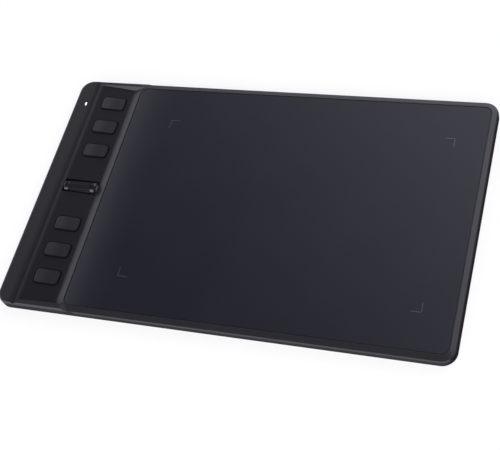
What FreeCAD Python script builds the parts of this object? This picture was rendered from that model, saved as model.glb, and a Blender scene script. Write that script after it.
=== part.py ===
import FreeCAD, Part
import math
import os
import re

import Sketcher

# A slim graphics tablet, in millimetres. X runs along the long side to the right, Y to the back,
# Z up. The origin lies on the desk, under the middle of the case.

SIZES = {
    # Case outline and heights
    "case_length": 244.0,
    "case_depth": 149.0,
    "case_corner": 7.5,
    "foot_height": 0.8,
    "bottom_plate": 1.2,
    "edge_height": 6.5,
    "wall": 2.2,
    "shut_line": 0.25,
    "bottom_chamfer": 0.6,
    "seat_gap": 0.05,
    "over_cut": 1.0,
    # Raised frame round the drawing sheet
    "panel_height": 7.3,
    "bevel_width": 3.2,
    "edge_drop": 1.3,
    "edge_inset": 0.3,
    "panel_left": 39.1,
    "ramp_width": 4.4,
    "frame_corner": 4.3,
    "frame_rim": 0.3,
    "sheet_gap": 0.3,
    "sheet_drop": 0.1,
    "sheet_thickness": 0.4,
    "adhesive_thickness": 0.1,
    "panel_skin": 1.2,
    # Left strip and key well
    "strip_height": 7.6,
    "strip_round": 1.5,
    "strip_skin": 1.2,
    "valley_left": 8.0,
    "valley_foot": 11.2,
    "valley_depth": 0.75,
    "ridge_left": 12.2,
    "ridge_drop": 0.22,
    "well_left": 13.0,
    "rim_width": 2.7,
    "well_drop": 1.8,
    "well_end_slope": 0.95,
    "rim_fade": 8.5,
    "well_skin": 1.1,
    # Keys
    "key_centre": 24.6,
    "key_shift": 1.5,
    "key_width": 14.6,
    "key_depth": 8.8,
    "key_corner": 2.2,
    "key_gap": 0.3,
    "key_proud": 0.5,
    "key_crown": 110.0,
    "key_edge": 0.5,
    "key_travel": 0.4,
    "key_flange": 0.9,
    "key_flange_thickness": 0.35,
    "key_wall": 1.0,
    "key_stem": 1.5,
    "key_first": 24.35,
    "key_end_gap": 14.25,
    "switch_width": 4.2,
    "switch_height": 0.8,
    "plunger_radius": 1.0,
    "plunger_gap": 0.12,
    # Scroll roller
    "roller_centre": 23.8,
    "roller_shift": 1.45,
    "roller_radius": 3.6,
    "roller_half_length": 9.9,
    "grip_half_length": 6.6,
    "grip_inset": 0.08,
    "flute_width": 0.5,
    "flute_depth": 0.28,
    "ring_edge": 0.7,
    "core_radius": 2.2,
    "pin_radius": 0.5,
    "fit_gap": 0.03,
    "window_end_gap": 0.4,
    "window_side_gap": 0.6,
    "window_corner": 0.8,
    "roller_floor": 0.3,
    "roller_floor_gap": 0.2,
    "bracket_thickness": 1.2,
    "bracket_half_width": 1.9,
    "bracket_gap": 0.25,
    "notch_side_gap": 0.35,
    "encoder_length": 3.8,
    "encoder_half_width": 3.0,
    "encoder_wall": 0.6,
    "encoder_disc_radius": 1.1,
    "encoder_gap": 0.2,
    # Boards
    "board_standoff": 0.3,
    "board_thickness": 0.8,
    "board_edge_gap": 3.6,
    "board_width": 36.4,
    "board_end_gap": 11.3,
    "board_roller_gap": 0.7,
    "sensor_left_gap": 15.5,
    "sensor_right_gap": 5.8,
    "sensor_front_gap": 10.4,
    "sensor_back_gap": 11.4,
    "sensor_thickness": 0.8,
    "shield_inset": 4.0,
    "shield_thickness": 0.3,
    "flex_width": 14.0,
    "flex_thickness": 0.15,
    "flex_centre": -12.0,
    "flex_tail": 2.6,
    "connector_length": 4.0,
    "connector_width": 16.0,
    "connector_height": 0.9,
    "chip_height": 0.8,
    "main_chip": 5.0,
    "small_chip": 3.0,
    "chip_edge_gap": 1.1,
    # Light and socket
    "light_centre_x": 7.4,
    "light_back_gap": 17.2,
    "light_width": 0.8,
    "light_length": 2.1,
    "light_gap": 0.06,
    "light_flange": 0.7,
    "light_flange_thickness": 0.5,
    "lamp_width": 1.6,
    "lamp_height": 0.7,
    "socket_back_gap": 34.5,
    "socket_width": 8.94,
    "socket_height": 3.26,
    "socket_depth": 7.3,
    "socket_shell": 0.3,
    "socket_inset": 0.4,
    "socket_gap": 0.18,
    "socket_lift": 0.5,
    "tongue_width": 6.7,
    "tongue_thickness": 0.7,
    "tongue_length": 4.3,
    "tongue_base": 2.2,
    "tab_reach": 1.2,
    "tab_length": 1.4,
    "tab_thickness": 0.2,
    # Screws, lip, ribs and feet
    "screw_edge_x": 6.8,
    "screw_edge_y": 7.5,
    "screw_panel_gap": 7.4,
    "boss_radius": 2.4,
    "screw_radius": 1.0,
    "screw_head_radius": 1.9,
    "screw_head_height": 0.45,
    "screw_sink": 0.6,
    "screw_reach": 3.0,
    "screw_gap": 0.15,
    "board_screw_radius": 0.8,
    "board_screw_head": 1.5,
    "board_screw_head_height": 0.5,
    "board_screw_depth": 0.8,
    "board_screw_end": 12.7,
    "lip_height": 1.0,
    "lip_thickness": 0.7,
    "lip_gap": 0.15,
    "rail_width": 1.0,
    "rib_width": 1.0,
    "foot_radius": 6.0,
    "foot_edge": 0.25,
    "foot_sink": 0.3,
    "foot_edge_x": 16.5,
    "foot_edge_y": 14.5,
}

# Places and heights worked out from the sizes above
DERIVED = {
    "case_left": "-(case_length / 2)",
    "case_right": "case_length / 2",
    "case_back": "case_depth / 2",
    "seam": "foot_height + bottom_plate",
    "frame_left": "case_left + panel_left",
    "frame_right": "case_right - bevel_width",
    "frame_back": "case_back - bevel_width",
    "ramp_foot": "frame_left - ramp_width",
    "wall_top": "edge_height - edge_drop",
    "well_half_depth": "case_back - rim_width",
    "rim_end": "ramp_foot + frame_corner",
    "rim_tip": "rim_end + rim_fade",
    "recess_left": "frame_left + frame_rim",
    "recess_right": "frame_right - frame_rim",
    "recess_back": "frame_back - frame_rim",
    "recess_corner": "frame_corner - frame_rim",
    "sheet_top": "panel_height - sheet_drop",
    "sheet_bottom": "sheet_top - sheet_thickness",
    "recess_floor": "sheet_bottom - adhesive_thickness",
    "panel_ceiling": "recess_floor - panel_skin",
    "strip_ceiling": "strip_height - strip_skin",
    "well_low": "strip_height - well_drop",
    "cut_top": "strip_height + over_cut",
    "ramp_run": "ramp_width / (panel_height - well_low)",
    "frame_foot_left": "ramp_foot - ramp_run * (well_low - wall_top)",
    "frame_edge_left": "ramp_foot + ramp_run * (edge_height - well_low)",
    "well_ceiling": "well_low - well_skin",
    "valley_start": "case_left + valley_left",
    "valley_end": "case_left + valley_foot",
    "ridge_start": "case_left + ridge_left",
    "well_start": "case_left + well_left",
    "well_high": "strip_height - ridge_drop",
    "well_fall": "(well_high - well_low) / (ramp_foot - well_start)",
    "key_x": "case_left + key_centre",
    "key_pitch": "(well_half_depth - key_end_gap - key_first) / 2",
    "key_floor": "well_low + well_fall * (ramp_foot - key_x)",
    "flange_top": "well_ceiling - seat_gap",
    "flange_bottom": "flange_top - key_flange_thickness",
    "board_bottom": "seam + board_standoff",
    "board_top": "board_bottom + board_thickness",
    "board_left": "case_left + board_edge_gap",
    "board_right": "board_left + board_width",
    "board_half_depth": "case_back - board_end_gap",
    "board_screw_row": "board_half_depth - board_screw_end",
    "plunger_bottom": "board_top + key_travel + 2 * seat_gap",
    "roller_x": "case_left + roller_centre",
    "axis_height": "foot_height + roller_floor + roller_floor_gap + roller_radius",
    "window_half_length": "roller_half_length + window_end_gap",
    "window_half_depth": "roller_radius + window_side_gap",
    "grip_radius": "roller_radius - grip_inset",
    "pin_top": "axis_height + pin_radius",
    "notch_ceiling": "pin_top + 2 * seat_gap",
    "left_bracket": "roller_x - window_half_length - bracket_gap - bracket_thickness",
    "right_bracket": "roller_x + window_half_length + 2 * bracket_gap",
    "strip_cavity_right": "left_bracket - seat_gap",
    "encoder_left": "left_bracket - bracket_gap - encoder_length",
    "pin_left": "encoder_left + encoder_wall + encoder_gap",
    "pin_right": "right_bracket + bracket_thickness + seat_gap",
    "sensor_top": "panel_ceiling",
    "sensor_bottom": "sensor_top - sensor_thickness",
    "shield_bottom": "sensor_bottom - shield_thickness",
    "sensor_left": "frame_left + sensor_left_gap",
    "sensor_right": "frame_right - sensor_right_gap",
    "sensor_front": "sensor_front_gap - frame_back",
    "sensor_back": "frame_back - sensor_back_gap",
    "light_x": "case_left + light_centre_x",
    "light_y": "case_back - light_back_gap",
    "socket_y": "case_back - socket_back_gap",
    "socket_bottom": "seam + socket_lift",
    "socket_axis": "socket_bottom + socket_height / 2",
    "socket_mouth": "case_left + socket_inset",
    "boss_row": "case_back - screw_edge_y",
    "rib_top": "shield_bottom - seat_gap",
    "rib_left": "sensor_left + shield_inset + 2 * rib_width",
    "rib_right": "sensor_right - shield_inset - 2 * rib_width",
    "rib_front": "sensor_front + shield_inset + 2 * rib_width",
    "rib_back": "sensor_back - shield_inset - 2 * rib_width",
}

WORD = re.compile(r"[a-z_]+")
KEY_COUNT = 6
ROW_COUNT = KEY_COUNT // 2
FLUTE_COUNT = 20
CROSS_RIB_COUNT = 5
LONG_RIB_COUNT = 7
SAME_PLACE = 1e-6

doc = FreeCAD.newDocument("graphics_tablet")
sheet = doc.addObject("Spreadsheet::Sheet", "sizes")


def fill_sheet():
    """Put every driving size into the sheet under its own name."""
    for row, (alias, value) in enumerate(SIZES.items(), start=1):
        sheet.set("A%d" % row, alias)
        sheet.set("B%d" % row, str(value))
        sheet.setAlias("B%d" % row, alias)
    doc.recompute()


def formula(text):
    """Turn plain size names into references to the sheet, with derived places written out."""
    def expand(match):
        word = match.group()
        if word in SIZES:
            return "sizes." + word
        if word in DERIVED:
            return "(" + formula(DERIVED[word]) + ")"
        raise ValueError("unknown size name: " + word)
    return WORD.sub(expand, text)


def number(text):
    """The present value of a formula."""
    return float(sheet.evalExpression(formula(text)))


def bind(thing, prop, text):
    """Drive one property of an object by a formula."""
    thing.setExpression(prop, formula(text))


def new_body(name, x="0", y="0", z="0"):
    """One piece, with its name and its place."""
    body = doc.addObject("PartDesign::Body", name)
    body.Label = name
    for axis, text in zip("xyz", (x, y, z)):
        bind(body, "Placement.Base." + axis, text)
    return body


def origin_feature(body, role):
    """A plane or an axis of the piece's own origin."""
    return next(item for item in body.Origin.OriginFeatures if item.Role == role)


def new_sketch(body, name, plane, offset="0"):
    """A sketch on one of the piece's own origin planes, moved along its normal."""
    sketch = body.newObject("Sketcher::SketchObject", body.Name + "_" + name)
    sketch.AttachmentSupport = [(origin_feature(body, plane + "_Plane"), "")]
    sketch.MapMode = "FlatFace"
    bind(sketch, "AttachmentOffset.Base.z", offset)
    return sketch


def constrain(sketch, text, kind, *ends):
    """Add one dimension and drive it by a formula."""
    index = sketch.addConstraint(Sketcher.Constraint(kind, *ends, number(text)))
    bind(sketch, "Constraints[%d]" % index, text)


def place_point(sketch, geometry, end, x, y):
    """Fix a point of a line, arc or circle by its distances from the origin."""
    constrain(sketch, x, "DistanceX", -1, 1, geometry, end)
    constrain(sketch, y, "DistanceY", -1, 1, geometry, end)


def draw_polygon(sketch, corners):
    """A closed run of straight lines through corners given as formulas."""
    points = [FreeCAD.Vector(number(x), number(y), 0) for x, y in corners]
    first = sketch.GeometryCount
    count = len(points)
    for index, point in enumerate(points):
        sketch.addGeometry(Part.LineSegment(point, points[(index + 1) % count]), False)
    for index in range(count):
        following = first + (index + 1) % count
        sketch.addConstraint(Sketcher.Constraint("Coincident", first + index, 2, following, 1))
    for index, (x, y) in enumerate(corners):
        place_point(sketch, first + index, 1, x, y)


def draw_rectangle(sketch, left, right, low, high):
    """A plain rectangle between four formulas."""
    draw_polygon(sketch, [(left, low), (right, low), (right, high), (left, high)])


def draw_rounded(sketch, left, right, low, high, radius):
    """A rectangle with four equal round corners."""
    x0, x1, y0, y1 = (number(text) for text in (left, right, low, high))
    r = number(radius)
    centres = [(x1 - r, y0 + r), (x1 - r, y1 - r), (x0 + r, y1 - r), (x0 + r, y0 + r)]
    starts = [(x0 + r, y0), (x1, y0 + r), (x1 - r, y1), (x0, y1 - r)]
    ends = [(x1 - r, y0), (x1, y1 - r), (x0 + r, y1), (x0, y0 + r)]
    first = sketch.GeometryCount
    for side in range(4):
        line = Part.LineSegment(FreeCAD.Vector(*starts[side], 0), FreeCAD.Vector(*ends[side], 0))
        sketch.addGeometry(line, False)
        circle = Part.Circle(FreeCAD.Vector(*centres[side], 0), FreeCAD.Vector(0, 0, 1), r)
        turn = math.pi / 2 * (side - 1)
        sketch.addGeometry(Part.ArcOfCircle(circle, turn, turn + math.pi / 2), False)
    for index in range(8):
        following = first + (index + 1) % 8
        sketch.addConstraint(Sketcher.Constraint("Tangent", first + index, 2, following, 1))
    for index, direction in ((0, "Horizontal"), (2, "Vertical"), (4, "Horizontal"), (6, "Vertical")):
        sketch.addConstraint(Sketcher.Constraint(direction, first + index))
    for index in (3, 5, 7):
        sketch.addConstraint(Sketcher.Constraint("Equal", first + 1, first + index))
    constrain(sketch, low, "DistanceY", -1, 1, first, 1)
    constrain(sketch, right, "DistanceX", -1, 1, first + 2, 1)
    constrain(sketch, high, "DistanceY", -1, 1, first + 4, 1)
    constrain(sketch, left, "DistanceX", -1, 1, first + 6, 1)
    constrain(sketch, radius, "Radius", first + 1)


def draw_circle(sketch, x, y, radius):
    """A circle about a point."""
    centre = FreeCAD.Vector(number(x), number(y), 0)
    index = sketch.GeometryCount
    sketch.addGeometry(Part.Circle(centre, FreeCAD.Vector(0, 0, 1), number(radius)), False)
    place_point(sketch, index, 3, x, y)
    constrain(sketch, radius, "Radius", index)


def pad(body, sketch, length, both_ways=False):
    """Raise a sketch into material."""
    feature = body.newObject("PartDesign::Pad", sketch.Name + "_pad")
    feature.Profile = sketch
    if both_ways:
        feature.SideType = "Symmetric"
    bind(feature, "Length", length)
    sketch.Visibility = False
    return feature


def pocket(body, sketch, depth, along_normal=False, both_ways=False):
    """Cut a sketch into the piece, against its normal unless told otherwise."""
    feature = body.newObject("PartDesign::Pocket", sketch.Name + "_pocket")
    feature.Profile = sketch
    feature.Reversed = along_normal
    if both_ways:
        feature.SideType = "Symmetric"
    bind(feature, "Length", depth)
    sketch.Visibility = False
    return feature


def loft(body, kind, name, sections):
    """Join two sections with straight-ruled sides."""
    feature = body.newObject("PartDesign::" + kind, body.Name + "_" + name)
    feature.Profile = sections[0]
    feature.Sections = sections[1:]
    feature.Ruled = True
    return feature


def row(body, feature, axis, length, count, backwards=False):
    """Repeat a feature along one of the piece's own axes."""
    pattern = body.newObject("PartDesign::LinearPattern", feature.Name + "_row")
    pattern.Originals = [feature]
    pattern.Direction = (origin_feature(body, axis + "_Axis"), [""])
    pattern.Reversed = backwards
    bind(pattern, "Length", length)
    pattern.Occurrences = count
    body.Tip = pattern
    return pattern


def face_name(feature, height):
    """Name of the flat level face at one height."""
    doc.recompute()
    for index, face in enumerate(feature.Shape.Faces, start=1):
        box = face.BoundBox
        if abs(box.ZMax - height) < SAME_PLACE and box.ZLength < SAME_PLACE:
            return "Face%d" % index
    raise ValueError("no level face on " + feature.Name)


def round_edges(body, feature, names, radius, name):
    """Round the named edges, or every edge of the named faces."""
    fillet = body.newObject("PartDesign::Fillet", body.Name + "_" + name)
    fillet.Base = (feature, names)
    bind(fillet, "Radius", radius)
    return fillet


def bevel_edges(body, feature, names, size, name):
    """Bevel the named edges, or every edge of the named faces."""
    chamfer = body.newObject("PartDesign::Chamfer", body.Name + "_" + name)
    chamfer.Base = (feature, names)
    bind(chamfer, "Size", size)
    return chamfer


def draw_case_outline(sketch, inset):
    """The case's outline in plan, drawn in by an inset."""
    left = "case_left + " + inset
    right = "case_right - " + inset
    draw_rounded(sketch, left, right, "-(case_back - %s)" % inset, "case_back - " + inset,
                 "case_corner - " + inset)


def case_screw_places():
    """Where the case screws stand: three along the front and three along the back."""
    columns = ("case_left + screw_edge_x", "frame_left + screw_panel_gap",
               "case_right - screw_edge_x - boss_radius / 2")
    return [(x, y) for x in columns for y in ("-(boss_row)", "boss_row")]


def board_screw_places():
    """Where the board screws stand."""
    columns = ("board_left + 2 * board_screw_head + shut_line", "board_right - 2 * board_screw_head")
    return [(x, y) for x in columns for y in ("-(board_screw_row)", "board_screw_row")]


def key_places():
    """Key centres along Y, from the back to the front."""
    steps = ["key_first + %d * key_pitch" % step for step in range(ROW_COUNT)]
    back = ["key_shift + " + step for step in reversed(steps)]
    front = ["key_shift - (%s)" % step for step in steps]
    return back + front


def raise_strip(cover):
    """Side walls and the raised left strip, its outer edges rounded."""
    outline = new_sketch(cover, "outline", "XY", "seam")
    draw_case_outline(outline, "0")
    block = pad(cover, outline, "strip_height - seam")
    top = face_name(block, number("strip_height"))
    round_edges(cover, block, [top], "strip_round", "edge_round")

    clearing = new_sketch(cover, "clearing", "XZ")
    draw_polygon(clearing, [
        ("rim_end", "strip_height"), ("rim_tip", "wall_top"),
        ("case_right + strip_round", "wall_top"), ("case_right + strip_round", "cut_top"),
        ("rim_end", "cut_top")])
    pocket(cover, clearing, "case_depth + 2 * strip_round", both_ways=True)


def sink_well(cover):
    """The key well, whose floor falls to the right between sloping end walls, and the valley."""
    sections = []
    for name, x, floor in (("well_high", "well_start", "well_high"),
                           ("well_low", "ramp_foot", "well_low"),
                           ("well_end", "rim_tip", "well_low")):
        section = new_sketch(cover, name, "YZ", x)
        low = "well_half_depth - well_end_slope * (strip_height - %s)" % floor
        high = "well_half_depth + well_end_slope * over_cut"
        draw_polygon(section, [("-(%s)" % low, floor), (low, floor),
                               (high, "cut_top"), ("-(%s)" % high, "cut_top")])
        sections.append(section)
    loft(cover, "SubtractiveLoft", "well", sections)

    ridge = new_sketch(cover, "ridge", "XZ")
    draw_polygon(ridge, [
        ("valley_start", "strip_height"), ("valley_end", "strip_height - valley_depth"),
        ("ridge_start", "strip_height - ridge_drop / 2"), ("well_start", "well_high"),
        ("well_start", "cut_top"), ("valley_start", "cut_top")])
    pocket(cover, ridge, "case_depth + 2 * strip_round", both_ways=True)


def raise_frame(cover):
    """The frame, with a narrow steep bevel, then a wide flat one, and the sheet's recess."""
    foot = new_sketch(cover, "frame_foot", "XY", "wall_top")
    draw_rounded(foot, "frame_foot_left", "case_right", "-(case_back)", "case_back", "case_corner")
    edge = new_sketch(cover, "frame_edge", "XY", "edge_height")
    draw_rounded(edge, "frame_edge_left", "case_right - edge_inset", "-(case_back - edge_inset)",
                 "case_back - edge_inset", "case_corner - edge_inset")
    crest = new_sketch(cover, "frame_crest", "XY", "panel_height")
    draw_rounded(crest, "frame_left", "frame_right", "-(frame_back)", "frame_back", "frame_corner")
    loft(cover, "AdditiveLoft", "frame", [foot, edge, crest])

    recess = new_sketch(cover, "recess", "XY", "panel_height")
    draw_rounded(recess, "recess_left", "recess_right", "-(recess_back)", "recess_back",
                 "recess_corner")
    pocket(cover, recess, "panel_height - recess_floor")


def hollow_cover(cover):
    """The room inside: low under the key well, higher under the strip and the drawing sheet."""
    room = new_sketch(cover, "room", "XY", "seam")
    draw_case_outline(room, "wall")
    pocket(cover, room, "well_ceiling - seam", along_normal=True)

    strip_room = new_sketch(cover, "strip_room", "XY", "seam")
    draw_rectangle(strip_room, "case_left + wall", "strip_cavity_right",
                   "-(case_back - case_corner)", "case_back - case_corner")
    pocket(cover, strip_room, "strip_ceiling - seam", along_normal=True)

    panel_room = new_sketch(cover, "panel_room", "XY", "seam")
    draw_rectangle(panel_room, "recess_left + wall", "recess_right - wall / 2",
                   "-(recess_back - frame_rim)", "recess_back - frame_rim")
    pocket(cover, panel_room, "panel_ceiling - seam", along_normal=True)


def add_bosses(cover):
    """Screw bosses that hang from the ceilings down to the bottom cover."""
    bosses = new_sketch(cover, "bosses", "XY", "seam")
    for x, y in case_screw_places():
        draw_circle(bosses, x, y, "boss_radius")
    pad(cover, bosses, "panel_ceiling - seam + seat_gap")
    holes = new_sketch(cover, "boss_holes", "XY", "seam")
    for x, y in case_screw_places():
        draw_circle(holes, x, y, "screw_radius + fit_gap")
    pocket(cover, holes, "screw_reach + 2 * seat_gap", along_normal=True)


def cut_control_openings(cover):
    """Openings for the keys, the roller and its pin, the light and the socket."""
    half_width = "key_width / 2 + key_gap"
    half_depth = "key_depth / 2 + key_gap"
    for name, side in (("back_keys", "+"), ("front_keys", "-")):
        centre = "key_shift %s key_first" % side
        opening = new_sketch(cover, name, "XY", "seam")
        draw_rounded(opening, "key_x - (%s)" % half_width, "key_x + %s" % half_width,
                     "%s - (%s)" % (centre, half_depth), "%s + %s" % (centre, half_depth),
                     "key_corner + key_gap")
        cut = pocket(cover, opening, "strip_height - seam", along_normal=True)
        row(cover, cut, "Y", "%d * key_pitch" % (ROW_COUNT - 1), ROW_COUNT, side == "-")

    window = new_sketch(cover, "roller_window", "XY", "seam")
    draw_rounded(window, "roller_x - window_half_length", "roller_x + window_half_length",
                 "roller_shift - window_half_depth", "roller_shift + window_half_depth",
                 "window_corner")
    pocket(cover, window, "strip_height - seam", along_normal=True)

    notch = new_sketch(cover, "pin_notch", "XY", "seam")
    half = "bracket_half_width + notch_side_gap"
    draw_rectangle(notch, "strip_cavity_right - seat_gap", "pin_right + bracket_gap",
                   "roller_shift - (%s)" % half, "roller_shift + %s" % half)
    pocket(cover, notch, "notch_ceiling - seam", along_normal=True)

    light = new_sketch(cover, "light_slot", "XY", "seam")
    draw_rounded(light, "light_x - light_width / 2 - light_gap",
                 "light_x + light_width / 2 + light_gap",
                 "light_y - light_length / 2 - light_gap",
                 "light_y + light_length / 2 + light_gap", "light_width / 3")
    pocket(cover, light, "strip_height - seam", along_normal=True)

    socket = new_sketch(cover, "socket_slot", "YZ", "case_left - wall")
    half_width = "socket_width / 2 + socket_gap"
    draw_rounded(socket, "socket_y - (%s)" % half_width, "socket_y + %s" % half_width,
                 "socket_bottom - socket_gap", "socket_bottom + socket_height + socket_gap",
                 "socket_height / 2")
    pocket(cover, socket, "3 * wall", along_normal=True)


def make_top_cover():
    """The upper moulding: strip, key well, frame, hollow inside, bosses and openings."""
    cover = new_body("top_cover")
    raise_strip(cover)
    sink_well(cover)
    raise_frame(cover)
    hollow_cover(cover)
    add_bosses(cover)
    cut_control_openings(cover)


def add_rails(cover):
    """Low rails and standoffs that the control board lies on."""
    rails = new_sketch(cover, "rails", "XY", "seam")
    for centre in ("strip_cavity_right - rail_width", "board_right - 3 * rail_width"):
        draw_rectangle(rails, "%s - rail_width / 2" % centre, "%s + rail_width / 2" % centre,
                       "-(board_half_depth)", "board_half_depth")
    pad(cover, rails, "board_standoff")
    standoffs = new_sketch(cover, "standoffs", "XY", "seam")
    for x, y in board_screw_places():
        draw_circle(standoffs, x, y, "board_screw_head + rail_width / 2")
    pad(cover, standoffs, "board_standoff")
    holes = new_sketch(cover, "standoff_holes", "XY", "board_bottom")
    for x, y in board_screw_places():
        draw_circle(holes, x, y, "board_screw_radius + fit_gap")
    pocket(cover, holes, "board_standoff + board_screw_depth + seat_gap")


def add_ribs(cover):
    """A grid of ribs that backs the shield plate."""
    first = new_sketch(cover, "rib_across", "XY", "seam")
    draw_rectangle(first, "rib_left", "rib_right", "rib_front", "rib_front + rib_width")
    rib = pad(cover, first, "rib_top - seam")
    row(cover, rib, "Y", "rib_back - rib_width - (rib_front)", CROSS_RIB_COUNT)
    second = new_sketch(cover, "rib_along", "XY", "seam")
    draw_rectangle(second, "rib_left", "rib_left + rib_width", "rib_front", "rib_back")
    rib = pad(cover, second, "rib_top - seam")
    row(cover, rib, "X", "rib_right - rib_width - (rib_left)", LONG_RIB_COUNT)


def foot_places():
    """The four feet, one near each corner."""
    x = "case_right - foot_edge_x"
    y = "case_back - foot_edge_y"
    return {"front_left": ("-(%s)" % x, "-(%s)" % y), "front_right": (x, "-(%s)" % y),
            "back_left": ("-(%s)" % x, y), "back_right": (x, y)}


def make_bottom_cover():
    """The lower plate with its locating lip, ribs, board rails, screw holes and foot seats."""
    cover = new_body("bottom_cover")
    outline = new_sketch(cover, "outline", "XY", "foot_height")
    draw_case_outline(outline, "shut_line")
    plate = pad(cover, outline, "bottom_plate")
    under = face_name(plate, number("foot_height"))
    bevel_edges(cover, plate, [under], "bottom_chamfer", "edge")

    lip = new_sketch(cover, "lip", "XY", "seam")
    draw_case_outline(lip, "(wall + lip_gap)")
    draw_case_outline(lip, "(wall + lip_gap + lip_thickness)")
    pad(cover, lip, "lip_height")
    add_rails(cover)
    add_ribs(cover)

    half = "socket_width / 2 + 2 * socket_gap"
    socket_room = new_sketch(cover, "socket_room", "XY", "seam")
    draw_rectangle(socket_room, "case_left + wall - lip_gap", "board_left",
                   "socket_y - (%s)" % half, "socket_y + %s" % half)
    pocket(cover, socket_room, "lip_height", along_normal=True)

    roller_room = new_sketch(cover, "roller_room", "XY", "seam")
    draw_rectangle(roller_room, "roller_x - window_half_length", "roller_x + window_half_length",
                   "roller_shift - window_half_depth", "roller_shift + window_half_depth")
    pocket(cover, roller_room, "bottom_plate - roller_floor")

    holes = new_sketch(cover, "screw_holes", "XY", "foot_height")
    sinks = new_sketch(cover, "screw_sinks", "XY", "foot_height")
    for x, y in case_screw_places():
        draw_circle(holes, x, y, "screw_radius + screw_gap")
        draw_circle(sinks, x, y, "screw_head_radius + screw_gap")
    pocket(cover, holes, "bottom_plate", along_normal=True)
    pocket(cover, sinks, "screw_sink", along_normal=True)

    seats = new_sketch(cover, "foot_seats", "XY", "foot_height")
    for x, y in foot_places().values():
        draw_circle(seats, x, y, "foot_radius + screw_gap")
    pocket(cover, seats, "foot_sink", along_normal=True)


def make_feet():
    """Four round rubber feet, their lower edges bevelled."""
    for corner, (x, y) in foot_places().items():
        foot = new_body("rubber_foot_" + corner, x, y)
        disc = new_sketch(foot, "disc", "XY")
        draw_circle(disc, "0", "0", "foot_radius")
        block = pad(foot, disc, "foot_height + foot_sink")
        under = face_name(block, 0.0)
        bevel_edges(foot, block, [under], "foot_edge", "edge")


def make_plate(name, left, right, low, high, radius, bottom, thickness):
    """A flat sheet or board with round corners."""
    plate = new_body(name)
    outline = new_sketch(plate, "outline", "XY", bottom)
    draw_rounded(outline, left, right, low, high, radius)
    pad(plate, outline, thickness)
    return plate


def make_drawing_surface():
    """The drawing sheet, and the adhesive that holds it in its recess."""
    for name, bottom, thickness in (("drawing_surface", "sheet_bottom", "sheet_thickness"),
                                    ("surface_adhesive", "recess_floor", "adhesive_thickness")):
        make_plate(name, "recess_left + sheet_gap", "recess_right - sheet_gap",
                   "-(recess_back - sheet_gap)", "recess_back - sheet_gap",
                   "recess_corner - sheet_gap", bottom, thickness)


def make_sensor():
    """The sensor board under the drawing sheet and the shield plate behind it."""
    make_plate("sensor_board", "sensor_left", "sensor_right", "sensor_front", "sensor_back",
               "rib_width", "sensor_bottom", "sensor_thickness")
    make_plate("shield_plate", "sensor_left + shield_inset", "sensor_right - shield_inset",
               "sensor_front + shield_inset", "sensor_back - shield_inset",
               "rib_width", "shield_bottom", "shield_thickness")


def make_control_board():
    """The control board, cut out for the roller and the socket and drilled for its screws."""
    board = new_body("control_board")
    outline = new_sketch(board, "outline", "XY", "board_bottom")
    half = "socket_width / 2 + socket_gap"
    inner = "socket_mouth + socket_depth + socket_gap"
    draw_polygon(outline, [
        ("board_left", "-(board_half_depth)"), ("board_right", "-(board_half_depth)"),
        ("board_right", "board_half_depth"), ("board_left", "board_half_depth"),
        ("board_left", "socket_y + " + half), (inner, "socket_y + " + half),
        (inner, "socket_y - (%s)" % half), ("board_left", "socket_y - (%s)" % half)])
    pad(board, outline, "board_thickness")

    opening = new_sketch(board, "roller_cut", "XY", "board_top")
    draw_rectangle(opening, "left_bracket + bracket_thickness + seat_gap",
                   "right_bracket - seat_gap",
                   "roller_shift - roller_radius - board_roller_gap",
                   "roller_shift + roller_radius + board_roller_gap")
    pocket(board, opening, "board_thickness")

    holes = new_sketch(board, "screw_holes", "XY", "board_top")
    for x, y in board_screw_places():
        draw_circle(holes, x, y, "board_screw_radius + screw_gap")
    pocket(board, holes, "board_thickness")


def make_chips():
    """The controller chip, a memory chip and a power chip along the board's right edge."""
    chips = new_body("controller_chips")
    outline = new_sketch(chips, "outline", "XY", "board_top")
    right = "board_right - chip_edge_gap"
    for centre, width in (("key_shift + key_first", "main_chip"),
                          ("key_shift + key_first / 2", "small_chip"),
                          ("key_shift + key_first + key_pitch", "small_chip")):
        draw_rectangle(outline, "%s - %s" % (right, width), right,
                       "%s - %s / 2" % (centre, width), "%s + %s / 2" % (centre, width))
    pad(chips, outline, "chip_height")


def make_flex():
    """The flat flex lead and the connector that takes it."""
    slot_bottom = "board_top + connector_height / 3"
    connector = new_body("flex_connector")
    outline = new_sketch(connector, "outline", "XY", "board_top")
    left = "board_right - connector_length"
    draw_rectangle(outline, left, "board_right", "flex_centre - connector_width / 2",
                   "flex_centre + connector_width / 2")
    pad(connector, outline, "connector_height")
    slot = new_sketch(connector, "slot", "YZ", "board_right")
    draw_rectangle(slot, "flex_centre - flex_width / 2 - seat_gap",
                   "flex_centre + flex_width / 2 + seat_gap",
                   slot_bottom, slot_bottom + " + flex_thickness + 2 * seat_gap")
    pocket(connector, slot, "flex_tail + seat_gap")

    flex = new_body("sensor_flex", "0", "flex_centre")
    side = new_sketch(flex, "side", "XZ")
    low = "(%s + seat_gap)" % slot_bottom
    high = "(sensor_bottom - flex_thickness)"
    end = "sensor_left + shield_inset - rib_width"
    draw_polygon(side, [
        ("board_right - flex_tail", low), ("board_right + 2 * flex_tail", low),
        ("sensor_left - flex_tail", high), (end, high),
        (end, high + " + flex_thickness"), ("sensor_left - flex_tail", high + " + flex_thickness"),
        ("board_right + 2 * flex_tail", low + " + flex_thickness"),
        ("board_right - flex_tail", low + " + flex_thickness")])
    pad(flex, side, "flex_width", both_ways=True)


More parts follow.
